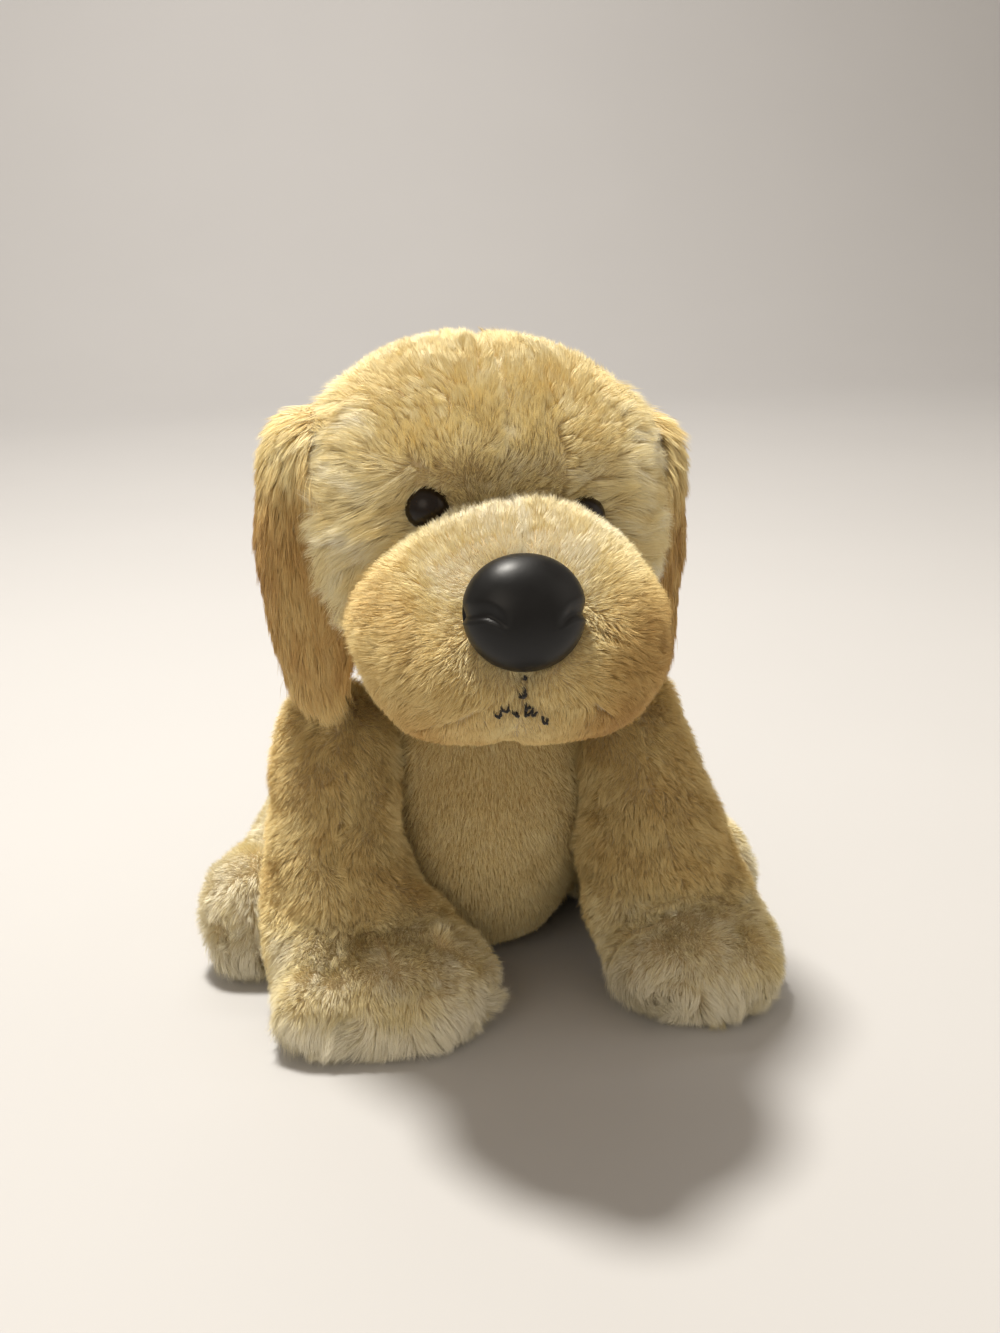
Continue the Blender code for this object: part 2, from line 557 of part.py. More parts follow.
for name, flip in (("left", False), ("right", True)):
    for part, near, far, tone in (("outer", 0.2, 1.9, "pile_ear"), ("lining", -1.6, -0.2, "pile_ear_lining")):
        label = f"ear_{name}_{part}"
        grid = ear_grid(far)
        grid = turned((turned(grid.reshape(-1, 3), MIRROR) if flip else grid.reshape(-1, 3)), HEAD_POSE).reshape(grid.shape)
        OUT_FROM[label] = grid.reshape(-1, 3).mean(axis=0) - np.array([(-100.0 if flip else 100.0), 0, 0])
        sheet(label, grid, far - near, tone)

# ---------------------------------------------------------------- legs
def leg(name, rows, hind, pivot, axis, angles, flip=False, neighbours=()):
    room = swept(f"{name}_room", TORSO, pivot, axis, angles)
    parts = []
    outer, inner = ((0, 180), (180, 360))
    if hind:
        spans = (("outer", 0, 180), ("inner", 180, 360))
    else:
        spans = (("outer", 0, 180), ("inner", 180, 360)) if rows[0][0] > 0 else (("inner", 0, 180), ("outer", 180, 360))
    for label, start, end in spans:
        parts.append(cover(f"{name}_cover_{label}", rows, start, end, "pile_leg", across=8, along=11, flip=flip))
    parts.append(fill(f"{name}_filling", rows, FILL + 0.6, "filling", around=14, along=11, flip=flip))
    for piece in parts:
        cut(piece, *room, own_crossings=True)
        for other in neighbours:
            cut(piece, other)
    return parts


front_angles = (0, 11, 22, 33, 45)
leg_parts = {}
leg_parts["front_leg_right"] = leg("front_leg_right", LEG_R, False, SHOULDER_R, (-1, 0, 0), front_angles)
leg_parts["front_leg_left"] = leg("front_leg_left", LEG_L, False, SHOULDER_L, (-1, 0, 0), front_angles)
hind_angles = (0, 8.1, 16.3, 24.2)
leg_parts["hind_leg_left"] = leg("hind_leg_left", HIND, True, HIP_L, (0, 0, 1), hind_angles)
leg_parts["hind_leg_right"] = leg("hind_leg_right", HIND, True, HIP_R, (0, 0, -1), hind_angles, flip=True)

# bean pellets in the front paws, in a hollow of the filling that is reached through a neck
for name, x, y, a, b in (("right", -37.5, -24.5, 14.5, 9.5), ("left", 50.5, -24.5, 12.5, 9.5)):
    PELLETS = [(x, y, 5.2, a * 0.45, b * 0.45), (x, y, 6.2, a * 0.85, b * 0.85), (x, y, 9.0, a, b), (x, y, 12.5, a * 0.93, b * 0.93), (x, y, 15.2, a * 0.55, b * 0.55)]
    def dome(grow, label, tone, collection=None):
        grid = []
        turn = np.linspace(0, 2 * math.pi, 13)[:-1]
        low, high = PELLETS[0][2], PELLETS[-1][2]
        for cx, cy, z, ra, rb in PELLETS:
            zz = z + (grow if z > (low + high) / 2 + 1 else -grow if z < (low + high) / 2 - 1 else 0)
            grid.append(np.stack([cx + (ra + grow) * np.cos(turn), cy + (rb + grow) * np.sin(turn), np.full(12, zz)], 1))
        return mesh_object(label, *solid(np.array(grid)), tone, collection)
    dome(0.0, f"paw_beans_{name}", "beans")
    room = helper(dome(GAP, f"paw_room_{name}", None, CUTTERS))
    way = helper(lathe([(2.0, 1.2), (2.0, 6.0)], None, f"paw_way_{name}", Matrix.Translation((x, y, 0)), around=8, collection=CUTTERS))
    cut(leg_parts[f"front_leg_{name}"][2], room, way)

# ---------------------------------------------------------------- tail
tail_room = swept("tail_room", TORSO, Vector((0, 86, 15)), (0, 0, 1), (-25, 0, 25))
for label, start, end in (("left", 0, 180), ("right", 180, 360)):
    piece = cover(f"tail_cover_{label}", TAIL, start, end, "pile_tail", across=5, along=7)
    cut(piece, *tail_room)
piece = fill("tail_filling", TAIL, FILL, "filling", around=10, along=7)
cut(piece, *tail_room)

# ---------------------------------------------------------------- the shared frame, and each moving piece's origin on its joint
JOINTS = {
    "ear_left": tuple(HEAD_POSE @ Vector((42.2, -8, 163.5))),
    "ear_right": tuple(HEAD_POSE @ Vector((-42.2, -8, 163.5))),
    "front_leg_left": tuple(SHOULDER_L),
    "front_leg_right": tuple(SHOULDER_R),
    "paw_beans_left": tuple(SHOULDER_L),
    "paw_beans_right": tuple(SHOULDER_R),
    "hind_leg_left": tuple(HIP_L),
    "hind_leg_right": tuple(HIP_R),
    "tail": (0, 86, 15),
    "head": NECK, "muzzle": NECK, "chin": NECK, "nose": NECK, "eye": NECK, "mouth": NECK, "neck": NECK,
}
move = Vector((FRAME_SHIFT_X, FRAME_SHIFT_Y, 0)) * MM
for made in list(PARTS.objects) + list(CUTTERS.objects):
    origin = Vector((0, 0, 0))
    if made.name in PARTS.objects:
        for key in sorted(JOINTS, key=len, reverse=True):
            if made.name.startswith(key):
                origin = Vector(JOINTS[key]) * MM
                break
    made.data.transform(Matrix.Translation(-origin))
    made.location = origin + move
bpy.context.view_layer.update()
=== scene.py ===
import math

import bmesh
import bpy
import numpy as np
from mathutils import Matrix, Vector
from mathutils.bvhtree import BVHTree
from mathutils.kdtree import KDTree


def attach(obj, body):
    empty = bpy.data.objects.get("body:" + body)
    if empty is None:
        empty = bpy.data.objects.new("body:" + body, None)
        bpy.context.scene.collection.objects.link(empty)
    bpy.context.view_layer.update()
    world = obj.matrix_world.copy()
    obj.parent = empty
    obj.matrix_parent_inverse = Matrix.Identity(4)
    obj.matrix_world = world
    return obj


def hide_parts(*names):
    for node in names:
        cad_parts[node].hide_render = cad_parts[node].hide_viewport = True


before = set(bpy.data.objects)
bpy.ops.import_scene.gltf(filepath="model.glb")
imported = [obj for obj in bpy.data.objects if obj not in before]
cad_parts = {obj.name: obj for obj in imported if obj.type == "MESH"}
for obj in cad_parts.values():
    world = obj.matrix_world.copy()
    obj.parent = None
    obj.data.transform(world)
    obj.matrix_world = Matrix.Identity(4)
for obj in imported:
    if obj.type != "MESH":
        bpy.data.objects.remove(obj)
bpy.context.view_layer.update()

MM = 0.001
TAU = 2 * math.pi
SHIFT = np.array([0.0, -9.45, 0.0])     # the design frame's origin in the row frame, mm

# ------------------------------------------------------------------ shape tables (mm, design frame)
HEAD_SHIFT, HEAD_YAW, HEAD_ROLL = -6.0, 2.0, 2.5
HEAD_MIDDLE = (0, -10, 130)
EYE = (19.0, -46.0, 146.8)
EYE_R = 5.6
NOSE = (-4.0, -83.0, 131.0)
TORSO = [
    (0, 46, 0.0, 2, 3), (0, 46, 0.0, 15, 20), (0, 46, 1.5, 21, 27), (0, 45, 6, 25, 34), (0, 43, 15, 29, 40),
    (0, 40, 30, 34, 44), (0, 35, 48, 37, 43.5), (0, 27, 65, 36, 36.5), (0, 18, 78, 30.5, 28),
    (0, 12, 86, 23.5, 21), (0, 8.5, 90.5, 15.5, 14), (0, 7, 92.6, 7, 7), (0, 7, 92.8, 1, 1),
]
HEAD = [
    (0, -9, 97.4, 1, 1), (0, -9, 97.6, 8, 8), (0, -10, 99.2, 17, 16), (0, -10, 103, 26, 24), (0, -10, 110, 34, 31.5), (0, -10, 120, 39.5, 36.5),
    (0, -10, 132, 42, 38.5), (0, -10, 146, 42.3, 38.5), (0, -9.5, 158, 40, 37), (0, -9, 168, 35, 33),
    (0, -9, 176, 26.5, 25.5), (0, -9, 180.8, 15.5, 15), (0, -9, 182.3, 7, 7), (0, -9, 182.7, 1.2, 1.2),
]
MUZZLE = [
    (0, -30, 119, 32, 24), (0, -40, 119, 35.5, 25.8), (-0.3, -52, 119, 36.5, 26.5), (-1.0, -63, 119.5, 33.5, 25),
    (-2.4, -72, 121, 27.5, 21.5), (-3.5, -78.5, 123, 19, 15.5), (-4, -81.8, 124.5, 10, 8.4), (-4, -82.8, 125, 1.5, 1.3),
]
LEG_R = [
    (-43.5, 8, 88.2, 4.5, 4.5), (-43.5, 7.5, 85.5, 9.5, 9.5), (-43.8, 6.5, 80, 13.5, 13.5), (-44.2, 4, 70, 15.5, 16), (-45, 1, 55, 16.5, 16.8),
    (-45.5, -3, 40, 18, 16.5), (-43.5, -9, 27, 21.5, 16), (-39.5, -17, 17.5, 26, 15), (-36, -27, 14, 29, 14.2),
    (-34.5, -35, 13, 26.5, 13), (-34, -40, 12.3, 18.5, 9.8), (-34, -42.4, 12, 8.5, 4.6), (-34, -42.9, 12, 1.6, 1.0),
]
LEG_L = [
    (37.5, 9, 88.2, 4.5, 4.5), (37.8, 8.5, 85.5, 9.5, 9.5), (38.2, 7.5, 80, 13.5, 13.5), (39.2, 5, 70, 15.5, 16), (42, 1, 55, 17.2, 16.8),
    (45.5, -3, 40, 20, 17), (48.3, -9, 27, 22, 16), (50.5, -17, 17.5, 23, 15), (51, -27, 14, 23, 14),
    (49.5, -35, 12.8, 19.5, 12.5), (48.5, -40, 12, 13.5, 9.2), (48, -42.4, 11.8, 6.5, 4.2), (48, -42.9, 11.8, 1.4, 1.0),
]
HIND = [
    (37, 85, 22, 5, 5), (37.5, 83, 22, 12, 11.5), (38.5, 77, 22.5, 18.5, 17.5), (40, 67, 23, 22.5, 21),
    (42, 55, 23, 23.5, 21), (46, 43, 21.5, 22.5, 20), (55.5, 32, 19, 18, 18), (63.5, 23.5, 17.5, 16, 17),
    (67.2, 16, 18, 15.6, 17.5), (68.8, 11, 18.5, 13.2, 15), (69.4, 8.6, 18.7, 9, 10), (69.6, 7.4, 18.8, 4, 4.5), (69.6, 7.0, 18.8, 1.2, 1.3),
]
TAIL = [
    (0, 86, 15, 5, 5), (0, 88, 15, 8.2, 8.2), (0, 92, 14.6, 9.6, 9.8), (0, 98, 13.6, 9.4, 9.4), (0, 104, 12.6, 8.6, 8.4),
    (0, 109, 12.4, 6.8, 6.6), (0, 111.4, 12.4, 3.2, 3.2), (0, 112, 12.4, 1.0, 1.0),
]
EAR_LINE = [(42.2, 163.5, 13.5), (47.6, 160.5, 15.5), (51.6, 153.5, 17.6), (53.4, 141, 19.5),
            (53.2, 127, 19.6), (51.6, 112.5, 16.5), (50, 102.5, 10.5), (49.2, 97, 4.0)]
HEAD_POSE = np.array(
    Matrix.Translation((HEAD_SHIFT, 0, 0)) @ Matrix.Rotation(math.radians(HEAD_YAW), 4, "Z")
    @ Matrix.Translation(HEAD_MIDDLE) @ Matrix.Rotation(math.radians(HEAD_ROLL), 4, "Y") @ Matrix.Translation([-v for v in HEAD_MIDDLE])
)
MIRROR = np.diag([-1.0, 1, 1, 1])


def turned(points, matrix):
    return np.asarray(points) @ matrix[:3, :3].T + matrix[:3, 3]


def spline(rows, count):
    rows = np.array(rows, float)
    step = np.linalg.norm(np.diff(rows, axis=0), axis=1)
    at = np.concatenate([[0], np.cumsum(step)])
    at /= at[-1]
    slope = np.empty_like(rows)
    slope[1:-1] = (rows[2:] - rows[:-2]) / (at[2:] - at[:-2])[:, None]
    slope[0] = (rows[1] - rows[0]) / (at[1] - at[0])
    slope[-1] = (rows[-1] - rows[-2]) / (at[-1] - at[-2])
    want = np.linspace(0, 1, count)
    k = np.clip(np.searchsorted(at, want, side="right") - 1, 0, len(at) - 2)
    h = (at[k + 1] - at[k])[:, None]
    t = ((want - at[k])[:, None]) / h
    return (
        (2 * t**3 - 3 * t**2 + 1) * rows[k] + (t**3 - 2 * t**2 + t) * h * slope[k]
        + (-2 * t**3 + 3 * t**2) * rows[k + 1] + (t**3 - t**2) * h * slope[k + 1]
    )


def loft(rows, around, along, fatter=2.0, upright=False, flip_up=False):
    """Points of a lofted body as a (ring, angle) grid. Angle 0 is the front or the top, turning towards +X."""
    full = spline(rows, along)
    centre, a, b = full[:, :3], np.abs(full[:, 3]), np.abs(full[:, 4])
    tangent = np.gradient(centre, axis=0)
    tangent /= np.linalg.norm(tangent, axis=1)[:, None]
    if upright:
        side = np.broadcast_to((1.0, 0, 0), tangent.shape)
        other = np.broadcast_to((0, -1.0, 0), tangent.shape)
    else:
        side = np.cross(tangent, np.cross(np.broadcast_to((1.0, 0, 0), tangent.shape), tangent))
        side = side / np.linalg.norm(side, axis=1)[:, None]
        other = np.cross(tangent, side) * (-1.0 if flip_up else 1.0)
    u = np.linspace(0, TAU, around + 1)[:-1]
    s, c = np.sin(u), np.cos(u)
    p = 2.0 / fatter
    s, c = np.sign(s) * np.abs(s) ** p, np.sign(c) * np.abs(c) ** p
    points = centre[:, None] + (a[:, None] * s)[..., None] * side[:, None] + (b[:, None] * c)[..., None] * other[:, None]
    points[..., 2] = np.maximum(points[..., 2], 0.35)
    return points


# ------------------------------------------------------------------ noise
def lattice(ix, iy, iz, seed):
    n = (ix * 374761393 + iy * 668265263 + iz * 2147483647 + seed * 1274126177) & 0xFFFFFFFF
    n = ((n ^ (n >> 13)) * 1274126177) & 0xFFFFFFFF
    n = (n ^ (n >> 16)) & 0xFFFFFFFF
    return n.astype(np.float64) / 0xFFFFFFFF * 2 - 1


def noise(points, scale, seed):
    """Smooth value noise from -1 to 1. scale is the size of its features in mm."""
    q = np.asarray(points) / scale + 1000.0
    i = np.floor(q).astype(np.int64)
    f = q - i
    f = f * f * (3 - 2 * f)
    out = 0
    for dx in (0, 1):
        for dy in (0, 1):
            for dz in (0, 1):
                w = (f[:, 0] if dx else 1 - f[:, 0]) * (f[:, 1] if dy else 1 - f[:, 1]) * (f[:, 2] if dz else 1 - f[:, 2])
                out = out + w * lattice(i[:, 0] + dx, i[:, 1] + dy, i[:, 2] + dz, seed)
    return out


def unit(v):
    return v / np.maximum(np.linalg.norm(v, axis=-1), 1e-9)[..., None]


def step(x, low, high):
    t = np.clip((x - low) / (high - low), 0, 1)
    return t * t * (3 - 2 * t)


def bump_at(points, place, radius):
    return np.exp(-((points - np.array(place)) ** 2).sum(axis=-1) / radius**2)


# ------------------------------------------------------------------ materials
def tree_of(name):
    made = bpy.data.materials.new(name)
    made.use_nodes = True
    nodes = made.node_tree.nodes
    shader = next(n for n in nodes if n.type == "BSDF_PRINCIPLED")
    return made, made.node_tree, nodes, shader


def ramp(nodes, stops):
    made = nodes.new("ShaderNodeValToRGB")
    elements = made.color_ramp.elements
    while len(elements) > 1:
        elements.remove(elements[-1])
    elements[0].position, elements[0].color = stops[0][0], (*stops[0][1], 1)
    for at, colour in stops[1:]:
        e = elements.new(at)
        e.color = (*colour, 1)
    return made


# The low end of these ramps is used for painted shade, and its orange hue stands in for warm light bounced into the
# shade.
TIP = [(0.0, (0.46, 0.25, 0.075)), (0.22, (0.62, 0.39, 0.13)), (0.45, (0.79, 0.59, 0.25)), (0.68, (0.91, 0.765, 0.40)), (0.86, (0.95, 0.855, 0.545)), (1.0, (0.975, 0.93, 0.77))]
# Root colours, darker than the tips: painted shade of the deep pile between the fibres.
ROOT = [(0.0, (0.18, 0.082, 0.022)), (0.22, (0.31, 0.165, 0.046)), (0.45, (0.48, 0.31, 0.10)), (0.68, (0.64, 0.465, 0.19)), (0.86, (0.74, 0.60, 0.31)), (1.0, (0.83, 0.73, 0.50))]


def fur_material(name, sheen=0.12):
    """Pile fibres: the U of the fibre's own map is its tone, from deep gold to near white, and V runs from root to tip,
    where the darker root colours are painted shade of the deep pile.
    """
    made, tree, nodes, shader = tree_of(name)
    uv = nodes.new("ShaderNodeUVMap"); uv.uv_map = "OFBake"
    split = nodes.new("ShaderNodeSeparateXYZ")
    root, tip = ramp(nodes, ROOT), ramp(nodes, TIP)
    grow = nodes.new("ShaderNodeMapRange")
    grow.inputs["From Min"].default_value, grow.inputs["From Max"].default_value = 0.0, 0.62
    mix = nodes.new("ShaderNodeMix"); mix.data_type = "RGBA"
    link = tree.links.new
    link(uv.outputs["UV"], split.inputs["Vector"])
    link(split.outputs["X"], root.inputs["Fac"])
    link(split.outputs["X"], tip.inputs["Fac"])
    link(split.outputs["Y"], grow.inputs["Value"])
    link(grow.outputs["Result"], mix.inputs["Factor"])
    link(root.outputs["Color"], mix.inputs["A"])
    link(tip.outputs["Color"], mix.inputs["B"])
    link(mix.outputs["Result"], shader.inputs["Base Color"])
    shader.inputs["Roughness"].default_value = 0.55
    shader.inputs["Specular IOR Level"].default_value = 0.32
    shader.inputs["Sheen Weight"].default_value = sheen
    shader.inputs["Sheen Roughness"].default_value = 0.4
    shader.inputs["Sheen Tint"].default_value = (1.0, 0.93, 0.78, 1)
    return made


def cloth_material(name, dark, light, scale=900.0, rough=0.92):
    """Knitted backing between the fibres: two tones, a fine stitch relief and broad stains of wear."""
    made, tree, nodes, shader = tree_of(name)
    link = tree.links.new
    where = nodes.new("ShaderNodeTexCoord")
    broad = nodes.new("ShaderNodeTexNoise"); broad.inputs["Scale"].default_value = 90.0; broad.inputs["Detail"].default_value = 4.0
    fine = nodes.new("ShaderNodeTexNoise"); fine.inputs["Scale"].default_value = scale; fine.inputs["Detail"].default_value = 3.0
    tone = ramp(nodes, [(0.32, dark), (0.7, light)])
    rough_map = nodes.new("ShaderNodeMapRange")
    rough_map.inputs["To Min"].default_value, rough_map.inputs["To Max"].default_value = rough - 0.08, min(1.0, rough + 0.06)
    relief = nodes.new("ShaderNodeBump"); relief.inputs["Strength"].default_value = 0.6; relief.inputs["Distance"].default_value = 0.0006
    link(where.outputs["Object"], broad.inputs["Vector"])
    link(where.outputs["Object"], fine.inputs["Vector"])
    link(broad.outputs["Fac"], tone.inputs["Fac"])
    link(tone.outputs["Color"], shader.inputs["Base Color"])
    link(fine.outputs["Fac"], relief.inputs["Height"])
    link(relief.outputs["Normal"], shader.inputs["Normal"])
    link(fine.outputs["Fac"], rough_map.inputs["Value"])
    link(rough_map.outputs["Result"], shader.inputs["Roughness"])
    shader.inputs["Sheen Weight"].default_value = 0.2
    return made


def plastic_material(name, dark, light, low, high, scale, relief_mm, coat=0.0, shine=0.5):
    made, tree, nodes, shader = tree_of(name)
    link = tree.links.new
    where = nodes.new("ShaderNodeTexCoord")
    broad = nodes.new("ShaderNodeTexNoise"); broad.inputs["Scale"].default_value = scale / 6; broad.inputs["Detail"].default_value = 5.0
    fine = nodes.new("ShaderNodeTexNoise"); fine.inputs["Scale"].default_value = scale; fine.inputs["Detail"].default_value = 2.0
    tone = ramp(nodes, [(0.35, dark), (0.7, light)])
    rough = nodes.new("ShaderNodeMapRange")
    rough.inputs["From Min"].default_value, rough.inputs["From Max"].default_value = 0.3, 0.7
    rough.inputs["To Min"].default_value, rough.inputs["To Max"].default_value = low, high
    relief = nodes.new("ShaderNodeBump"); relief.inputs["Strength"].default_value = 0.35; relief.inputs["Distance"].default_value = relief_mm * MM
    link(where.outputs["Object"], broad.inputs["Vector"])
    link(where.outputs["Object"], fine.inputs["Vector"])
    link(broad.outputs["Fac"], tone.inputs["Fac"])
    link(tone.outputs["Color"], shader.inputs["Base Color"])
    link(broad.outputs["Fac"], rough.inputs["Value"])
    link(rough.outputs["Result"], shader.inputs["Roughness"])
    link(fine.outputs["Fac"], relief.inputs["Height"])
    link(relief.outputs["Normal"], shader.inputs["Normal"])
    shader.inputs["Specular IOR Level"].default_value = shine
    shader.inputs["Coat Weight"].default_value = coat
    shader.inputs["Coat Roughness"].default_value = 0.08
    return made


FUR = fur_material("plush_pile")
FUR_SILKY = fur_material("plush_pile_silky", 0.2)
SKIN = cloth_material("pile_backing", (0.42, 0.27, 0.10), (0.60, 0.42, 0.19))
SKIN_PALE = cloth_material("pile_backing_pale", (0.52, 0.40, 0.22), (0.66, 0.54, 0.33))
SKIN_EAR = cloth_material("pile_backing_ear", (0.26, 0.14, 0.045), (0.40, 0.24, 0.09))
FIBRE = cloth_material("polyester_fibre", (0.78, 0.76, 0.71), (0.93, 0.92, 0.89), 500.0, 0.94)
PELLETS = plastic_material("pellets", (0.66, 0.64, 0.57), (0.86, 0.85, 0.80), 0.45, 0.7, 400.0, 0.6)
WASHER = plastic_material("moulded_washer", (0.74, 0.74, 0.71), (0.86, 0.86, 0.84), 0.38, 0.55, 500.0, 0.05)
NOSE_MAT = plastic_material("nose_satin", (0.0030, 0.0030, 0.0033), (0.0065, 0.0065, 0.007), 0.34, 0.46, 700.0, 0.05, 0.0, 0.34)
EYE_MAT = plastic_material("eye_polished", (0.008, 0.0045, 0.0025), (0.016, 0.008, 0.004), 0.22, 0.34, 300.0, 0.01, 0.0, 0.3)
THREAD_BLACK = cloth_material("thread_black", (0.008, 0.007, 0.006), (0.035, 0.032, 0.030), 3000.0, 0.8)
THREAD_CREAM = cloth_material("thread_cream", (0.55, 0.42, 0.22), (0.74, 0.62, 0.40), 3000.0, 0.82)


# ------------------------------------------------------------------ mesh helpers
def grid_mesh(name, points, material, closed_ends=True, subdivide=0):
    """A closed skin from a full ring grid in mm, design frame."""
    rows, cols = points.shape[:2]
    verts = np.concatenate([points.reshape(-1, 3), points[0].mean(axis=0)[None], points[-1].mean(axis=0)[None]]) + SHIFT
    r, c = np.meshgrid(np.arange(rows - 1), np.arange(cols), indexing="ij")
    r, c = r.reshape(-1), c.reshape(-1)
    d = (c + 1) % cols
    quads = np.stack([r * cols + c, r * cols + d, (r + 1) * cols + d, (r + 1) * cols + c], 1).tolist()
    k = np.arange(cols)
    n = (k + 1) % cols
    first = np.stack([np.full(cols, rows * cols), n, k], 1).tolist()
    last = np.stack([np.full(cols, rows * cols + 1), (rows - 1) * cols + k, (rows - 1) * cols + n], 1).tolist()
    mesh = bpy.data.meshes.new(name)
    mesh.from_pydata((verts * MM).tolist(), [], quads + first + last)
    build = bmesh.new(); build.from_mesh(mesh)
    bmesh.ops.recalc_face_normals(build, faces=build.faces)
    if build.calc_volume(signed=True) < 0:
        bmesh.ops.reverse_faces(build, faces=build.faces)
    build.to_mesh(mesh); build.free()
    mesh.shade_smooth()
    made = bpy.data.objects.new(name, mesh)
    made.data.materials.append(material)
    bpy.context.scene.collection.objects.link(made)
    return made


def triangles(obj):
    """(corner points, corner normals) of an object's triangles, in mm, design frame."""
    mesh = obj.data
    mesh.calc_loop_triangles()
    n = len(mesh.vertices)
    co = np.empty(n * 3); mesh.vertices.foreach_get("co", co); co = co.reshape(-1, 3) / MM - SHIFT
    no = np.empty(n * 3); mesh.vertices.foreach_get("normal", no); no = no.reshape(-1, 3)
    t = np.empty(len(mesh.loop_triangles) * 3, np.int64); mesh.loop_triangles.foreach_get("vertices", t)
    t = t.reshape(-1, 3)
    return co[t], no[t]


def strands_mesh(name, verts, uv, segments, material):
    """One mesh of tapered ribbons. verts is (strand, point, 3): two points for each level and one tip."""
    count, per = verts.shape[:2]
    mesh = bpy.data.meshes.new(name)
    mesh.vertices.add(count * per)
    mesh.vertices.foreach_set("co", ((verts.reshape(-1, 3) + SHIFT) * MM).astype(np.float32).reshape(-1))
    base = np.arange(count)[:, None] * per
    faces, sizes, maps = [], [], []
    for k in range(segments - 1):
        faces.append(base + np.array([2 * k, 2 * k + 1, 2 * k + 3, 2 * k + 2]))
    tip = base + np.array([2 * segments - 2, 2 * segments - 1, 2 * segments])
    loops = np.concatenate(faces + [tip], axis=1)
    per_loop = loops.shape[1]
    totals = [4] * (segments - 1) + [3]
    starts = np.concatenate([[0], np.cumsum(totals)])[:-1]
    mesh.loops.add(count * per_loop)
    mesh.loops.foreach_set("vertex_index", loops.reshape(-1).astype(np.int32))
    mesh.polygons.add(count * len(totals))
    mesh.polygons.foreach_set("loop_start", (np.arange(count)[:, None] * per_loop + starts).reshape(-1).astype(np.int32))
    mesh.polygons.foreach_set("loop_total", np.tile(totals, count).astype(np.int32))
    layer = mesh.uv_layers.new(name="OFBake")
    layer.data.foreach_set("uv", uv.reshape(-1, 2)[loops.reshape(-1)].astype(np.float32).reshape(-1))
    mesh.update(calc_edges=True)
    mesh.polygons.foreach_set("use_smooth", np.zeros(len(mesh.polygons), bool))
    made = bpy.data.objects.new(name, mesh)
    made.data.materials.append(material)
    bpy.context.scene.collection.objects.link(made)
    return made


THIN = 1.0


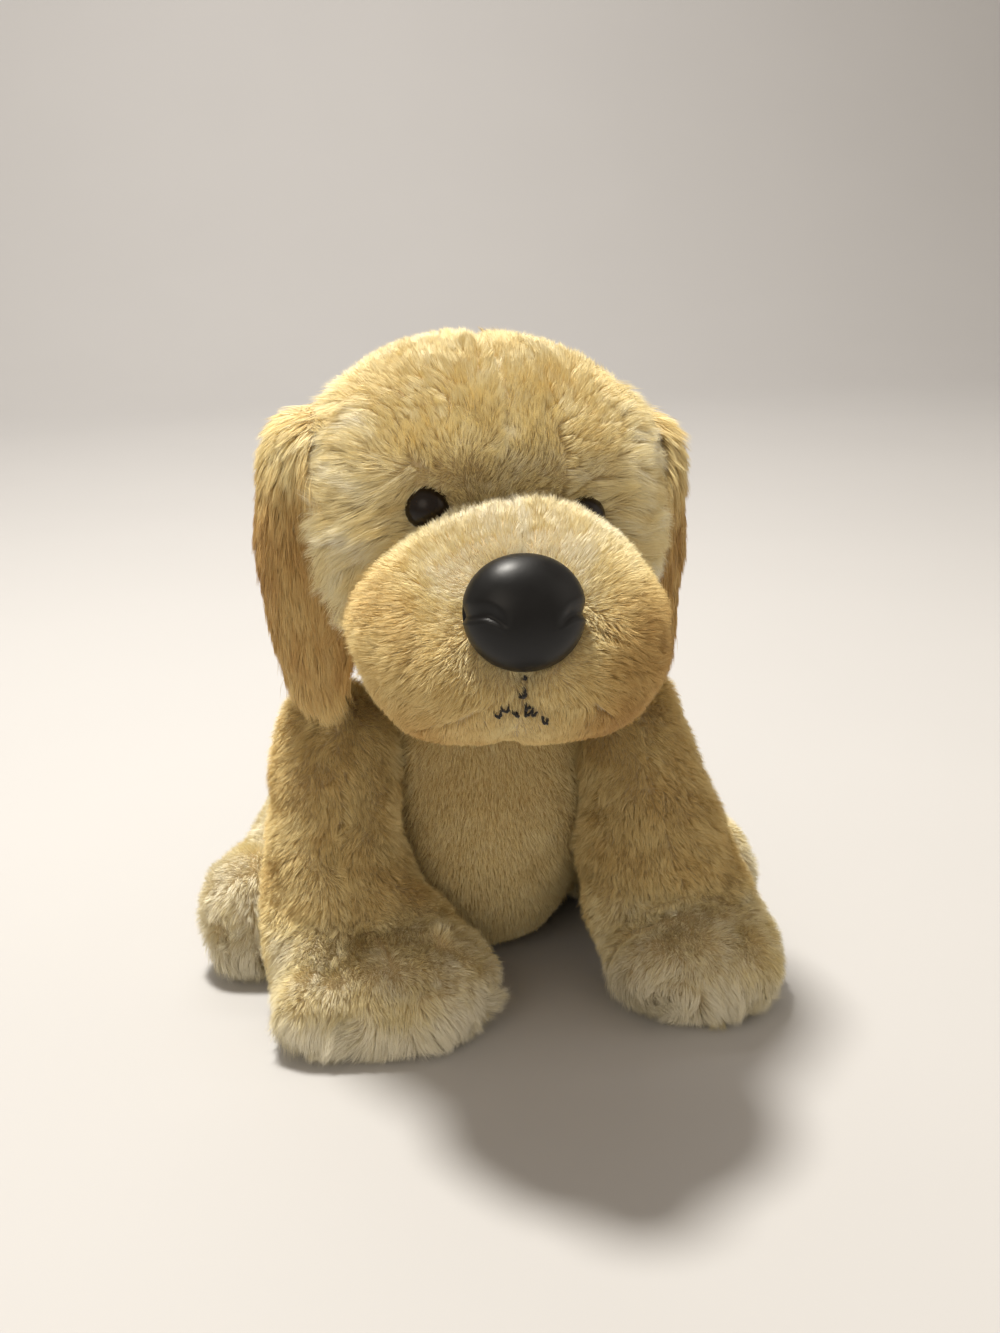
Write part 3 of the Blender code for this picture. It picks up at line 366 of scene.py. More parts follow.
def grow(name, body, slot, tris, normals, density, length, comb, tone, lift=45.0, width=0.2, clump=6.0, gather=0.55,
         keep=None, material=None, seed=1, segments=2, curl=0.35, sit=0.3, wild=0.16, mottle=0.05):
    """Pile on the triangles. length, tone and lift are numbers or functions of (points, normals); comb gives the lie of the nap.
    clump is the skin area in square mm that shares one tuft, and gather how far its tips come together."""
    rng = np.random.default_rng(seed)
    a, b, c = tris[:, 0], tris[:, 1], tris[:, 2]
    area = np.linalg.norm(np.cross(b - a, c - a), axis=1) / 2
    want = area * density * THIN
    n = np.floor(want + rng.random(len(want))).astype(int)
    face = np.repeat(np.arange(len(n)), n)
    u, v = rng.random(len(face)), rng.random(len(face))
    over = u + v > 1
    u[over], v[over] = 1 - u[over], 1 - v[over]
    w = 1 - u - v
    root = tris[face, 0] * w[:, None] + tris[face, 1] * u[:, None] + tris[face, 2] * v[:, None]
    normal = unit(normals[face, 0] * w[:, None] + normals[face, 1] * u[:, None] + normals[face, 2] * v[:, None])
    if keep is not None:
        good = keep(root, normal)
        root, normal = root[good], normal[good]
    count = len(root)
    if not count:
        return None
    get = lambda f: f(root, normal) if callable(f) else np.full(count, float(f))
    size, up, shade = get(length), np.radians(get(lift)), get(tone)
    way = comb(root, normal)
    swirl = np.stack([noise(root, 9.0, seed * 7 + k) for k in range(3)], 1) * curl
    swirl += np.stack([noise(root, 3.2, seed * 7 + 3 + k) for k in range(3)], 1) * curl * 0.6
    way = unit(way) + swirl
    way = unit(way - (way * normal).sum(1)[:, None] * normal)
    way = unit(way + wild * rng.standard_normal((count, 3)))
    way = unit(way - (way * normal).sum(1)[:, None] * normal)
    size = size * (1 + 0.16 * rng.standard_normal(count)).clip(0.45, 1.5) * (1 + 0.14 * noise(root, 5.0, seed + 91))
    up = up * (1 + 0.14 * rng.standard_normal(count)) + 0.10 * noise(root, 6.0, seed + 55)
    up = np.clip(up, 0.12, 1.5)
    levels = np.linspace(0, 1, segments + 1)
    def along(s):
        rise = np.sin(up)[:, None] * (s - 0.28 * s * s)
        run = np.cos(up)[:, None] * (0.72 * s + 0.40 * s * s)
        return size[:, None] * (rise * normal + run * way)
    path = [root - sit * normal + along(s) for s in levels]
    # tufts: the tips lean to the tip of the tuft's middle fibre
    tufts = max(2, int(count / max(1.0, clump * density * THIN)))
    lead = rng.choice(count, min(tufts, count), replace=False)
    tree = KDTree(len(lead))
    for k, p in enumerate(root[lead].tolist()):
        tree.insert(p, k)
    tree.balance()
    find = tree.find
    near = lead[np.fromiter((find(p)[1] for p in root.tolist()), np.int64, count)]
    pull = gather * (0.65 + 0.35 * rng.random(count)) * (1 + 0.35 * noise(root[near], 8.0, seed + 12)).clip(0.2, 1.6)
    for k, s in enumerate(levels):
        if k:
            spread = 0.22 * (root - root[near])
            path[k] = path[k] + np.clip(pull * s ** 1.6, 0, 0.92)[:, None] * (path[k][near] + spread - path[k])
    shade = shade + 0.045 * rng.standard_normal(count) + mottle * noise(root[near], 2.4, seed + 33) + 0.035 * noise(root, 11.0, seed + 71)
    shade = np.clip(shade, 0.015, 0.985)
    # the ribbon's flat side turns outward, with a random twist
    verts = np.empty((count, 2 * segments + 1, 3))
    uv = np.empty((count, 2 * segments + 1, 2))
    twist = rng.normal(0, 0.55, count)
    for k in range(segments):
        d = unit(path[k + 1] - path[k])
        flat = unit(normal - (normal * d).sum(1)[:, None] * d)
        side = np.cross(d, flat)
        side = side * np.cos(twist)[:, None] + flat * np.sin(twist)[:, None]
        half = width * 0.5 * (1.0 if k == 0 else 0.82 - 0.22 * (k - 1)) * (0.75 + 0.5 * rng.random(count) if k == 0 else 1.0)
        half = np.broadcast_to(half, (count,))[:, None]
        verts[:, 2 * k], verts[:, 2 * k + 1] = path[k] - half * side, path[k] + half * side
        uv[:, 2 * k, 1] = uv[:, 2 * k + 1, 1] = 0.03 + 0.94 * levels[k]
    verts[:, -1] = path[-1]
    uv[:, -1, 1] = 0.97
    uv[:, :, 0] = shade[:, None]
    verts[..., 2] = np.maximum(verts[..., 2], 0.25)
    made = strands_mesh(name, verts, uv, segments, material or FUR)
    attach(made, body)
    COUNTS[name] = count
    return made


COUNTS = {}


# ------------------------------------------------------------------ skins
def angle_of(points, rows, upright=True):
    """Angle round an upright body of each point, from the front towards +X."""
    fine = spline(rows, 200)
    yc = np.interp(points[:, 2], fine[:, 2], fine[:, 1])
    return np.degrees(np.arctan2(points[:, 0], -(points[:, 1] - yc))) % 360


def groove(points, normals, distance, depth, width):
    return points - (depth * np.exp(-(distance / width) ** 2))[..., None] * normals


def grid_normals(points):
    wrap = np.concatenate([points[:, -1:], points, points[:, :1]], axis=1)
    around = wrap[:, 2:] - wrap[:, :-2]
    along = np.gradient(points, axis=0)
    n = unit(np.cross(around, along))
    centre = points.mean(axis=1, keepdims=True)
    sign = np.sign(((points - centre) * n).sum())
    return n * (sign if sign else 1)


def lumps(points, normals, size, amount, seed):
    flat = points.reshape(-1, 3)
    return points + (amount * noise(flat, size, seed)).reshape(points.shape[:2])[..., None] * normals


def held(points, before, deepest=1.7):
    """The shaped skin with its inward moves kept inside the cover's own thickness, so that the filling stays hidden."""
    n = grid_normals(before)
    inward = -((points - before) * n).sum(-1)
    return points + np.clip(inward - deepest, 0, None)[..., None] * n


# torso
torso = loft(TORSO, 96, 84, upright=True)
plain = torso
n = grid_normals(torso)
turn = np.linspace(0, 360, 97)[:-1]
for seam in (52.0, 180.0, 308.0):
    away = np.abs((turn - seam + 180) % 360 - 180)
    torso = groove(torso, n, np.broadcast_to(away / 360 * TAU * 34, torso.shape[:2]), 0.9, 2.6)
torso = held(lumps(torso, n, 16.0, 0.7, 5), plain)
torso[..., 2] = np.maximum(torso[..., 2], 0.4)
torso_skin = grid_mesh("torso_plush", torso, SKIN)

# head
head = loft(HEAD, 120, 110, fatter=2.25, upright=True)
plain = head
n = grid_normals(head)
for sign in (1, -1):
    ex, ey, ez = sign * EYE[0], EYE[1], EYE[2]
    head = head - (3.0 * bump_at(head, (ex, ey - 1, ez - 0.5), 8.5))[..., None] * n
    head = head + (1.9 * bump_at(head, (sign * 17, -44, 159), 10))[..., None] * n
    head = head + (2.6 * bump_at(head, (sign * 38, -26, 156), 17))[..., None] * n
    head = head + (2.8 * bump_at(head, (sign * 37, -30, 130), 17))[..., None] * n
head = head - (1.6 * bump_at(head, (0, -48, 149), 10))[..., None] * n
head = head + (1.0 * bump_at(head, (0, -36, 170), 14))[..., None] * n
head = lumps(head, n, 13.0, 0.55, 9)
crown = np.abs(head[..., 0]) + 40 * (head[..., 2] < 164)
head = groove(head, n, crown, 1.4, 1.9)
head = held(head, plain)
head = turned(head, HEAD_POSE)
head_skin = grid_mesh("head_plush", head, SKIN_PALE)

# muzzle
muzzle = loft(MUZZLE, 110, 80)
plain = muzzle
n = grid_normals(muzzle)
muzzle = muzzle + (4.0 * np.exp(-(((muzzle[..., 0] - 8) / 23) ** 2 + ((muzzle[..., 1] + 52) / 17) ** 2)) * step(muzzle[..., 2], 126, 142))[..., None] * n
for sign in (1, -1):
    muzzle = muzzle + (3.0 * bump_at(muzzle, (sign * 23, -64, 103), 14))[..., None] * n
    muzzle = muzzle - (0.9 * bump_at(muzzle, (sign * 34, -52, 114), 15))[..., None] * n
    muzzle = muzzle + (1.3 * bump_at(muzzle, (-4 + sign * 14, -78, 112), 8))[..., None] * n
    muzzle = muzzle - (1.5 * bump_at(muzzle, (sign * 34, -45, 137), 11))[..., None] * n
top = (muzzle[..., 2] > 121)
muzzle = groove(muzzle, n, np.abs(muzzle[..., 0] + 3.5 * step(-muzzle[..., 1], 60, 80)) + 50 * ~top, 1.5, 1.7)
front = (muzzle[..., 1] < -62) & (muzzle[..., 2] < 119)
muzzle = groove(muzzle, n, np.abs(muzzle[..., 0] + 4) + 50 * ~front, 1.9, 3.0)
muzzle = lumps(muzzle, n, 12.0, 0.7, 13)
muzzle = muzzle + (1.7 * np.exp(-((muzzle[..., 0] / 20) ** 2)) * (1 - step(muzzle[..., 2], 92, 100)))[..., None] * np.array([0, 0, 1.0])
muzzle = held(muzzle, plain)
muzzle = turned(muzzle, HEAD_POSE)
muzzle_skin = grid_mesh("muzzle_plush", muzzle, SKIN_PALE)


def leg_skin(name, rows, mirror=False, crease=None, seed=20, fatter=2.0, deep=2.0):
    grid = loft(rows, 84, 90, fatter=fatter)
    plain = grid
    n = grid_normals(grid)
    if crease is not None:
        at, high = crease
        front = step(-(grid[..., 1] - at[1]), -6, 6)
        away = np.abs((grid - np.array(at)) @ np.array(high))
        grid = grid - (deep * np.exp(-(away / 2.6) ** 2) * front)[..., None] * n
    grid = lumps(grid, n, 13.0, 1.3, seed)
    grid = lumps(grid, n, 6.0, 0.45, seed + 1)
    grid = held(grid, plain, 1.4)
    grid[..., 2] = np.maximum(grid[..., 2], 0.4)
    if mirror:
        grid = turned(grid, MIRROR)
    return grid_mesh(name, grid, SKIN_PALE)


wrist = unit(np.array([0.0, -0.45, 0.9]))
leg_r_skin = leg_skin("front_leg_right_plush", LEG_R, crease=((-43, -18, 34), wrist), seed=21, deep=2.6)
leg_l_skin = leg_skin("front_leg_left_plush", LEG_L, crease=((47, -18, 34), wrist), seed=24, deep=1.4)
hind_l_skin = leg_skin("hind_leg_left_plush", HIND, seed=27)
hind_r_skin = leg_skin("hind_leg_right_plush", HIND, mirror=True, seed=30)

tail = loft(TAIL, 48, 40, flip_up=True)
tail = lumps(tail, grid_normals(tail), 8.0, 0.4, 33)
tail_skin = grid_mesh("tail_plush", tail, SKIN)


def ear_sheet(depth, across, along, left):
    line = spline(EAR_LINE, along)
    s = np.linspace(-1, 1, across)
    x, z, w = line[:, 0], line[:, 1], line[:, 2]
    centre_y = -8 - 3.0 * (163.5 - z) / 66.0
    i = np.arange(along) * 8.0 / (along - 1)
    off = s[None] * w[:, None]
    lean = 0.16 * (1 - np.exp(-i / 2.5))[:, None]
    far = np.clip(i[:, None] / 8.0, 0, 1)
    wrap = np.where(off < 0, 0.0075 + 0.018 * np.clip(far / 0.4, 0, 1) + 0.012 * far, 0.0075)
    x, z, w = (x + 2.0 * far[:, 0] ** 2, z - 1.5 * far[:, 0], w + 0.5 * far[:, 0]) if left else (x - 3.5 * far[:, 0] ** 2, z - 3.0 * far[:, 0], w + 4.0 * far[:, 0])
    off = s[None] * w[:, None]
    pts = np.stack([x[:, None] + lean * off - wrap * off**2, centre_y[:, None] + off, np.broadcast_to(z[:, None], off.shape).copy()], 2)
    du, dv = np.gradient(pts, axis=1), np.gradient(pts, axis=0)
    n = unit(np.cross(du, dv))
    n *= np.sign(n[..., 0].mean())
    return pts + depth[..., None] * n if isinstance(depth, np.ndarray) else pts + depth * n


def ear_skin(name, flip):
    """Two cloths sewn round the edge: a pad that is fuller in the middle than at its rim."""
    across, along = 34, 60
    s = np.linspace(-1, 1, across)
    i = np.linspace(0, 1, along)
    full = np.sqrt(np.clip(1 - np.abs(s[None]) ** 3, 0, 1)) * np.sqrt(np.clip(1 - np.clip((i[:, None] - 0.86) / 0.16, 0, 1) ** 2, 0.02, 1))
    soft = 0.35 * noise(np.stack([np.tile(s * 14, along), np.repeat(i * 60, across), np.zeros(across * along)], 1), 9.0, 41 + flip).reshape(along, across)
    outer = ear_sheet(1.9 * full + soft * full, across, along, not flip)
    inner = ear_sheet(-1.6 * full + soft * full, across, along, not flip)
    ring = np.concatenate([outer, inner[:, ::-1]], axis=1)
    if flip:
        ring = turned(ring, MIRROR)
    return grid_mesh(name, turned(ring, HEAD_POSE), SKIN_EAR)


ear_l_skin = ear_skin("ear_left_plush", False)
ear_r_skin = ear_skin("ear_right_plush", True)

SKINS = {
    torso_skin: ("torso", "coat_cream", ["belly_panel", "back_panel_left", "back_panel_right"], 0.75),
    head_skin: ("head", "cheek_cream", ["head_gusset", "head_side_left", "head_side_right"], 0.9),
    muzzle_skin: ("head", "muzzle_cream", ["muzzle_panel_left", "muzzle_panel_right", "chin_panel"], 0.9),
    leg_r_skin: ("front_leg_right", "leg_cream", ["front_leg_right_cover_outer", "front_leg_right_cover_inner"], 0.65),
    leg_l_skin: ("front_leg_left", "leg_cream", ["front_leg_left_cover_outer", "front_leg_left_cover_inner"], 0.65),
    hind_l_skin: ("hind_leg_left", "leg_cream", ["hind_leg_left_cover_outer", "hind_leg_left_cover_inner"], 0.65),
    hind_r_skin: ("hind_leg_right", "leg_cream", ["hind_leg_right_cover_outer", "hind_leg_right_cover_inner"], 0.65),
    tail_skin: ("tail", "coat_cream", ["tail_cover_left", "tail_cover_right"], 0.6),
    ear_l_skin: ("ear_left", "ear_gold", ["ear_left_outer", "ear_left_lining"], 0.3),
    ear_r_skin: ("ear_right", "ear_gold", ["ear_right_outer", "ear_right_lining"], 0.3),
}
for skin, (body, slot, nodes, full) in SKINS.items():
    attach(skin, body)
    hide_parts(*nodes)

# ------------------------------------------------------------------ pile
UP = np.array([0, 0, 1.0])
MUZZLE_FINE = spline(MUZZLE, 200)[::-1]
HEAD_FINE = spline(HEAD, 200)
TO_HEAD = np.linalg.inv(HEAD_POSE)


def in_muzzle(p, slack):
    q = turned(p, TO_HEAD)
    y = np.clip(q[:, 1], -82.8, -30)
    a = np.interp(y, MUZZLE_FINE[:, 1], MUZZLE_FINE[:, 3]) - slack
    b = np.interp(y, MUZZLE_FINE[:, 1], MUZZLE_FINE[:, 4]) - slack
    z = np.interp(y, MUZZLE_FINE[:, 1], MUZZLE_FINE[:, 2])
    mid = np.interp(y, MUZZLE_FINE[:, 1], MUZZLE_FINE[:, 0])
    return (((q[:, 0] - mid) / np.maximum(a, 0.1)) ** 2 + ((q[:, 2] - z) / np.maximum(b, 0.1)) ** 2 < 1) & (q[:, 1] > -82) & (q[:, 1] < -20)


def in_head(p, slack):
    q = turned(p, TO_HEAD)
    a = np.interp(q[:, 2], HEAD_FINE[:, 2], HEAD_FINE[:, 3]) - slack
    b = np.interp(q[:, 2], HEAD_FINE[:, 2], HEAD_FINE[:, 4]) - slack
    return (np.abs(q[:, 0] / np.maximum(a, 0.1)) ** 2.25 + np.abs((q[:, 1] + 10) / np.maximum(b, 0.1)) ** 2.25 < 1)


def eye_distance(q):
    return np.minimum(*(np.linalg.norm(q - np.array([s * EYE[0] + 0.6 * (s > 0), EYE[1] - 1.0, EYE[2] - 2.8 * (s > 0)]), axis=1) for s in (1, -1)))


def nose_distance(q):
    """How far a point of the muzzle's front is outside the nose's rim, in mm across the face."""
    dx, dz = (q[:, 0] - NOSE[0]) / 13.4, (q[:, 2] - NOSE[2]) / 12.7
    return (np.sqrt(dx**2 + dz**2) - 1) * 13.0 + 60 * (q[:, 1] > -66)


# head: crown and forehead gusset, and the two longer-haired sides
def gold_share(q):
    """1 on the golden crown and forehead, 0 on the pale temples and cheeks. The join runs from behind the crown down to the inner eye."""
    half = np.interp(q[:, 2], [120, 146, 152, 160, 170, 178, 184], [10, 15, 21, 27.5, 31, 34, 40])
    half = half + 2.2 * noise(q, 7.0, 401)
    return 1 - step(np.abs(q[:, 0]), half - 2.5, half + 2.5) * step(-q[:, 1], -25, 0)


def head_tone(p, n):
    q = turned(p, TO_HEAD)
    gold = gold_share(q)
    crown = step(q[:, 2], 158, 176)
    back = step(q[:, 1], 0, 20)
    brow = step(-q[:, 1], 34, 46) * (1 - step(q[:, 2], 152, 164))
    side = 0.79 + 0.16 * noise(q, 4.5, 402) + 0.06 * step(q[:, 2], 140, 165)
    top = 0.80 - 0.02 * crown + 0.02 * brow + 0.08 * noise(q, 6.0, 403) + 0.06 * noise(q, 14.0, 404) + 0.10 * np.exp(-(q[:, 0] / 2.5) ** 2) * step(q[:, 2], 150, 160)
    return (gold * top + (1 - gold) * side) * (1 - back) + back * 0.60


def head_length(p, n):
    q = turned(p, TO_HEAD)
    gold = gold_share(q)
    size = gold * (4.8 + 0.5 * step(q[:, 2], 165, 180)) + (1 - gold) * 8.4
    size = np.where(q[:, 1] > 5, 6.0, size)
    size = size * (1 - 0.55 * np.exp(-(q[:, 0] / 1.5) ** 2) * step(q[:, 2], 156, 166))
    return size * (0.62 + 0.38 * step(eye_distance(q), 5.5, 10.5))


def head_comb(p, n):
    q = turned(p, TO_HEAD)
    gold = gold_share(q)
    away = q - np.array([0, -58, 138.0])
    way = unit(away * np.array([1.0, 1.0, 1.0]))
    droop = -(1 - gold)[:, None] * UP * 0.95
    outward = np.stack([np.sign(q[:, 0]), 0.9 + 0 * q[:, 0], 0 * q[:, 0]], 1) * (1 - gold)[:, None] * 0.45
    back = step(q[:, 1], 5, 25)[:, None]
    way = (way + droop + outward) * (1 - back) + back * (-UP)
    from_eye = np.zeros_like(q)
    for s in (1, -1):
        e = np.array([s * EYE[0], EYE[1], EYE[2]])
        d = q - e
        from_eye += unit(d) * np.exp(-(np.linalg.norm(d, axis=1) / 7.0) ** 2)[:, None] * 0.9
    return (way + from_eye) @ HEAD_POSE[:3, :3].T


def head_lift(p, n):
    q = turned(p, TO_HEAD)
    gold = gold_share(q)
    return 44 + 22 * gold


def head_keep(side, where=0):
    def keep(p, n):
        q = turned(p, TO_HEAD)
        half = np.abs(q[:, 0]) < np.interp(q[:, 2], [98, 130, 160, 183], [10, 12, 13, 3])
        front = q[:, 1] < -10
        gusset = half & front
        mine = gusset if side == 0 else (~gusset & (np.sign(q[:, 0] + 1e-6) == side))
        if where:
            mine = mine & ((q[:, 1] < -16) == (where > 0))
        return mine & (eye_distance(q) > 4.9) & ~in_muzzle(p, 2.5) & (q[:, 2] > 98)
    return keep


T, N = triangles(head_skin)
for side, where, label, slot in ((0, 0, "gusset", "crown_cream"), (1, 1, "left_face", "cheek_cream"), (1, -1, "left_back", "cheek_cream"),
                                 (-1, 1, "right_face", "cheek_cream"), (-1, -1, "right_back", "cheek_cream")):
    face = where >= 0
    grow(f"pile_head_{label}", "head", slot, T, N, 15.0 if side == 0 else 12.5 if face else 6.4, head_length, head_comb, head_tone, head_lift,
         width=0.11 if side == 0 else 0.12 if face else 0.155, clump=2.4 if side == 0 else 4.6 if face else 6.5,
         gather=0.42 if side == 0 else 0.62, keep=head_keep(side, where), seed=101 + side + 3 * where, curl=0.8, mottle=0.08 if side == 0 else 0.12)

# muzzle
def midline(q):
    """How far a point is from the muzzle's middle seam, which leans over to the nose."""
    return q[:, 0] + 4.0 * step(-q[:, 1], 58, 82)


def muzzle_tone(p, n):
    q = turned(p, TO_HEAD)
    q = np.stack([midline(q), q[:, 1], q[:, 2]], 1)
    # The lighter top is partly the muzzle's own cream colour and partly painted light from above.
    top = step(q[:, 2], 124, 142)
    low = 1 - step(q[:, 2], 96, 112)
    near = 1 - step(nose_distance(turned(p, TO_HEAD)), 1, 9)
    seam = np.exp(-(q[:, 0] / 2.4) ** 2) * (q[:, 2] > 136)
    mouth = np.exp(-((q[:, 0] / 12) ** 2 + ((q[:, 2] - 106) / 9) ** 2)) * (q[:, 1] < -60)
    painted_under_shade = np.clip(-(n @ HEAD_POSE[:3, :3])[:, 2], 0, 1)
    side = step(np.abs(q[:, 0]), 12, 28) * (1 - top)
    cloud = 0.08 * noise(q, 7.0, 411) + 0.07 * noise(q, 15.0, 412)
    # Painted shade: the low part, the sides, the downward-facing fur and the +X side, which is turned away from the key
    # lamp, are given darker tones.
    return 0.62 - 0.16 * low + 0.26 * top - 0.17 * step(q[:, 0], 4, 24) * (1 - top) - 0.11 * side * (1 - near) - 0.20 * painted_under_shade * (1 - mouth) + 0.14 * near + 0.16 * seam + 0.12 * mouth + cloud


def muzzle_length(p, n):
    q = turned(p, TO_HEAD)
    top = step(q[:, 2], 128, 142)
    size = 5.0 - 0.9 * top
    size = size * (0.70 + 0.30 * step(nose_distance(q), 0.5, 6))
    size = size * (1 - 0.42 * np.clip(-(n @ HEAD_POSE[:3, :3])[:, 2] * 1.3, 0, 1))
    q = np.stack([midline(q), q[:, 1], q[:, 2]], 1)
    mouth = np.exp(-((q[:, 0] / 9) ** 2 + ((q[:, 2] - 106) / 9) ** 2)) * (q[:, 1] < -60)
    size = size * (1 - 0.45 * mouth)
    seam = np.exp(-(q[:, 0] / 1.8) ** 2) * (q[:, 2] > 136)
    return size * (1 + 0.25 * seam)


def muzzle_comb(p, n):
    q = turned(p, TO_HEAD)
    away = unit(q - np.array([NOSE[0], -92, 131.0]))
    away = away - 0.42 * UP
    mid = midline(q)
    part = np.stack([np.sign(mid) * np.exp(-(mid / 5.0) ** 2) * (q[:, 2] < 118), 0 * q[:, 0], 0 * q[:, 0]], 1)
    return (away + part * 0.8) @ HEAD_POSE[:3, :3].T


STITCH_LINES = [
    [(0.2, 117.0), (0.2, 116.2)], [(-0.4, 114.6), (-1.0, 112.6)], [(0.2, 113.8), (-0.8, 113.2)],
    [(0.9, 111.0), (2.2, 110.3)], [(2.6, 110.2), (3.5, 108.6)], [(1.2, 109.2), (2.6, 108.8)], [(4.8, 107.6), (5.8, 107.2)],
    [(-3.6, 110.9), (-5.0, 110.5)], [(-4.9, 109.6), (-6.2, 109.4)], [(-2.6, 109.2), (-1.6, 108.8)],
]


def stitch_gap(q):
    best = np.full(len(q), 1e9)
    for (x0, z0), (x1, z1) in STITCH_LINES:
        x0, x1 = x0 + NOSE[0], x1 + NOSE[0]
        d = np.array([x1 - x0, z1 - z0])
        t = np.clip(((q[:, 0] - x0) * d[0] + (q[:, 2] - z0) * d[1]) / (d @ d), 0, 1)
        best = np.minimum(best, np.hypot(q[:, 0] - x0 - t * d[0], q[:, 2] - z0 - t * d[1]))
    return best + 50 * (q[:, 1] > -60)


def muzzle_keep(part):
    def keep(p, n):
        q = turned(p, TO_HEAD)
        around = np.degrees(np.arctan2(q[:, 0], q[:, 2] - 120)) % 360
        chin = (around > 128) & (around < 232)
        mine = chin if part == 0 else (~chin & (np.sign(midline(q) + 1e-6) == part))
        return mine & (nose_distance(q) > -4.2) & (stitch_gap(q) > 0.42) & ~in_head(p, 3.0)
    return keep


T, N = triangles(muzzle_skin)
for part, label, slot in ((1, "left", "muzzle_cream"), (-1, "right", "muzzle_cream"), (0, "chin", "chin_cream")):
    grow(f"pile_muzzle_{label}", "head", slot, T, N, 12.5, muzzle_length, muzzle_comb, muzzle_tone, lambda p, n: 68 - 26 * np.clip(-n[:, 2], 0, 1),
         width=0.125, clump=3.0, gather=0.42, keep=muzzle_keep(part), seed=120 + part, curl=0.7)

# torso
def torso_part(p):
    angle = angle_of(p, TORSO)
    edge = 52 + 3 * noise(p, 8.0, 421)
    return np.where((angle < edge) | (angle > 360 - edge), 0, np.where(p[:, 0] > 0, 1, -1))


def torso_comb(p, n):
    back = step(p[:, 1], 20, 50)[:, None]
    return -UP * (1 - 0.2 * back) + back * np.array([0, 0.7, 0])


T, N = triangles(torso_skin)
for part, label, slot in ((0, "belly", "belly_cream"), (1, "back_left", "coat_cream"), (-1, "back_right", "coat_cream")):
    belly = part == 0
    # The belly's tone of 0.70 is partly the chest's own paler cream and partly painted shade under the head, which
    # keeps it darker.
    grow(f"pile_{label}", "torso", slot, T, N, 9.6 if belly else 5.6, 3.6 if belly else 6.2, torso_comb,
         (lambda p, n: 0.70 + 0.03 * noise(p, 9.0, 422)) if belly else (lambda p, n: 0.60 + 0.06 * noise(p, 9.0, 423)),
         66.0 if belly else 54.0, width=0.13 if belly else 0.165, clump=1.6 if belly else 5.0, gather=0.3 if belly else 0.6,
         keep=lambda p, n, part=part: (torso_part(p) == part) & (p[:, 2] > 0.8), seed=130 + part, curl=0.35 if belly else 0.65)


# legs
def leg_fur(label, skin, body, rows, mirror, hind, seed):
    fine = spline(rows, 120)
    if mirror:
        fine = fine * np.array([-1, 1, 1, 1, 1])
    line = fine[:, :3]
    along_line = unit(np.gradient(line, axis=0))
    def nearest(p):
        best, at = None, None
        for k in range(0, len(line), 2):
            d = ((p - line[k]) ** 2).sum(1)
            if best is None:
                best, at = d, np.zeros(len(p), int)
            else:
                better = d < best
                best = np.where(better, d, best)
                at = np.where(better, k, at)
        return at
    def paw(p):
        if hind:
            return step(-p[:, 1], -26, -12)
        return step(-p[:, 1], 8, 22) * (1 - step(p[:, 2], 26, 36))
    def rim(p):
        return paw(p) * (1 - step(p[:, 2], 7, 16))
    def comb(p, n):
        at = nearest(p)
        out = p - line[at]
        out[:, 2] = 0
        w = paw(p)[:, None]
        return along_line[at] + unit(out + 1e-6) * w * 0.40 - UP * (0.25 + 0.75 * w)
    def length(p, n):
        top = step(p[:, 2], 78, 86)
        return 5.0 + 3.8 * rim(p) + 0.7 * noise(p, 9.0, seed + 4)
    def tone(p, n):
        cloud = 0.09 * noise(p, 7.0, seed + 5) + 0.08 * noise(p, 18.0, seed + 6)
        # Painted light and shade: the front paws get a lighter tone as painted light, the paws' low rims a lighter one
        # still as a painted highlight, and downward-facing fur a darker one as painted shade.
        return (0.96 if hind else 0.61) + (0.0 if hind else 0.26) * paw(p) + 0.24 * rim(p) - 0.10 * np.clip(-n[:, 2], 0, 1) + cloud
    T, N = triangles(skin)
    for k, (side, low) in enumerate(((1, True), (1, False), (-1, True), (-1, False)) if not hind else ((1, None), (-1, None))):
        def keep(p, n, side=side, low=low):
            mine = (np.sign(p[:, 0] - line[nearest(p), 0] + 1e-6) == side) & (p[:, 2] > 0.7)
            return mine if low is None else mine & ((p[:, 2] < 30) == low)
        name = "outer" if (side > 0) == (line[0, 0] > 0) else "inner"
        place = "" if low is None else "_paw" if low else "_upper"
        grow(f"pile_{label}_{name}{place}", body, "leg_cream", T, N, 13.0 if not hind else 8.6, length, comb, tone,
             lambda p, n: 66 - 12 * rim(p), width=0.115 if not hind else 0.135, clump=3.2, gather=0.5, keep=keep, seed=seed + k, curl=0.85)


leg_fur("front_leg_right", leg_r_skin, "front_leg_right", LEG_R, False, False, 200)
leg_fur("front_leg_left", leg_l_skin, "front_leg_left", LEG_L, False, False, 220)
leg_fur("hind_leg_left", hind_l_skin, "hind_leg_left", HIND, False, True, 240)
leg_fur("hind_leg_right", hind_r_skin, "hind_leg_right", HIND, True, True, 260)

# tail
T, N = triangles(tail_skin)
grow("pile_tail", "tail", "coat_cream", T, N, 5.0, 6.8, lambda p, n: np.tile((0, 1.0, -0.15), (len(p), 1)),
     lambda p, n: 0.60 + 0.06 * noise(p, 7.0, 431), 34.0, width=0.2, clump=5.0, gather=0.6, seed=280)

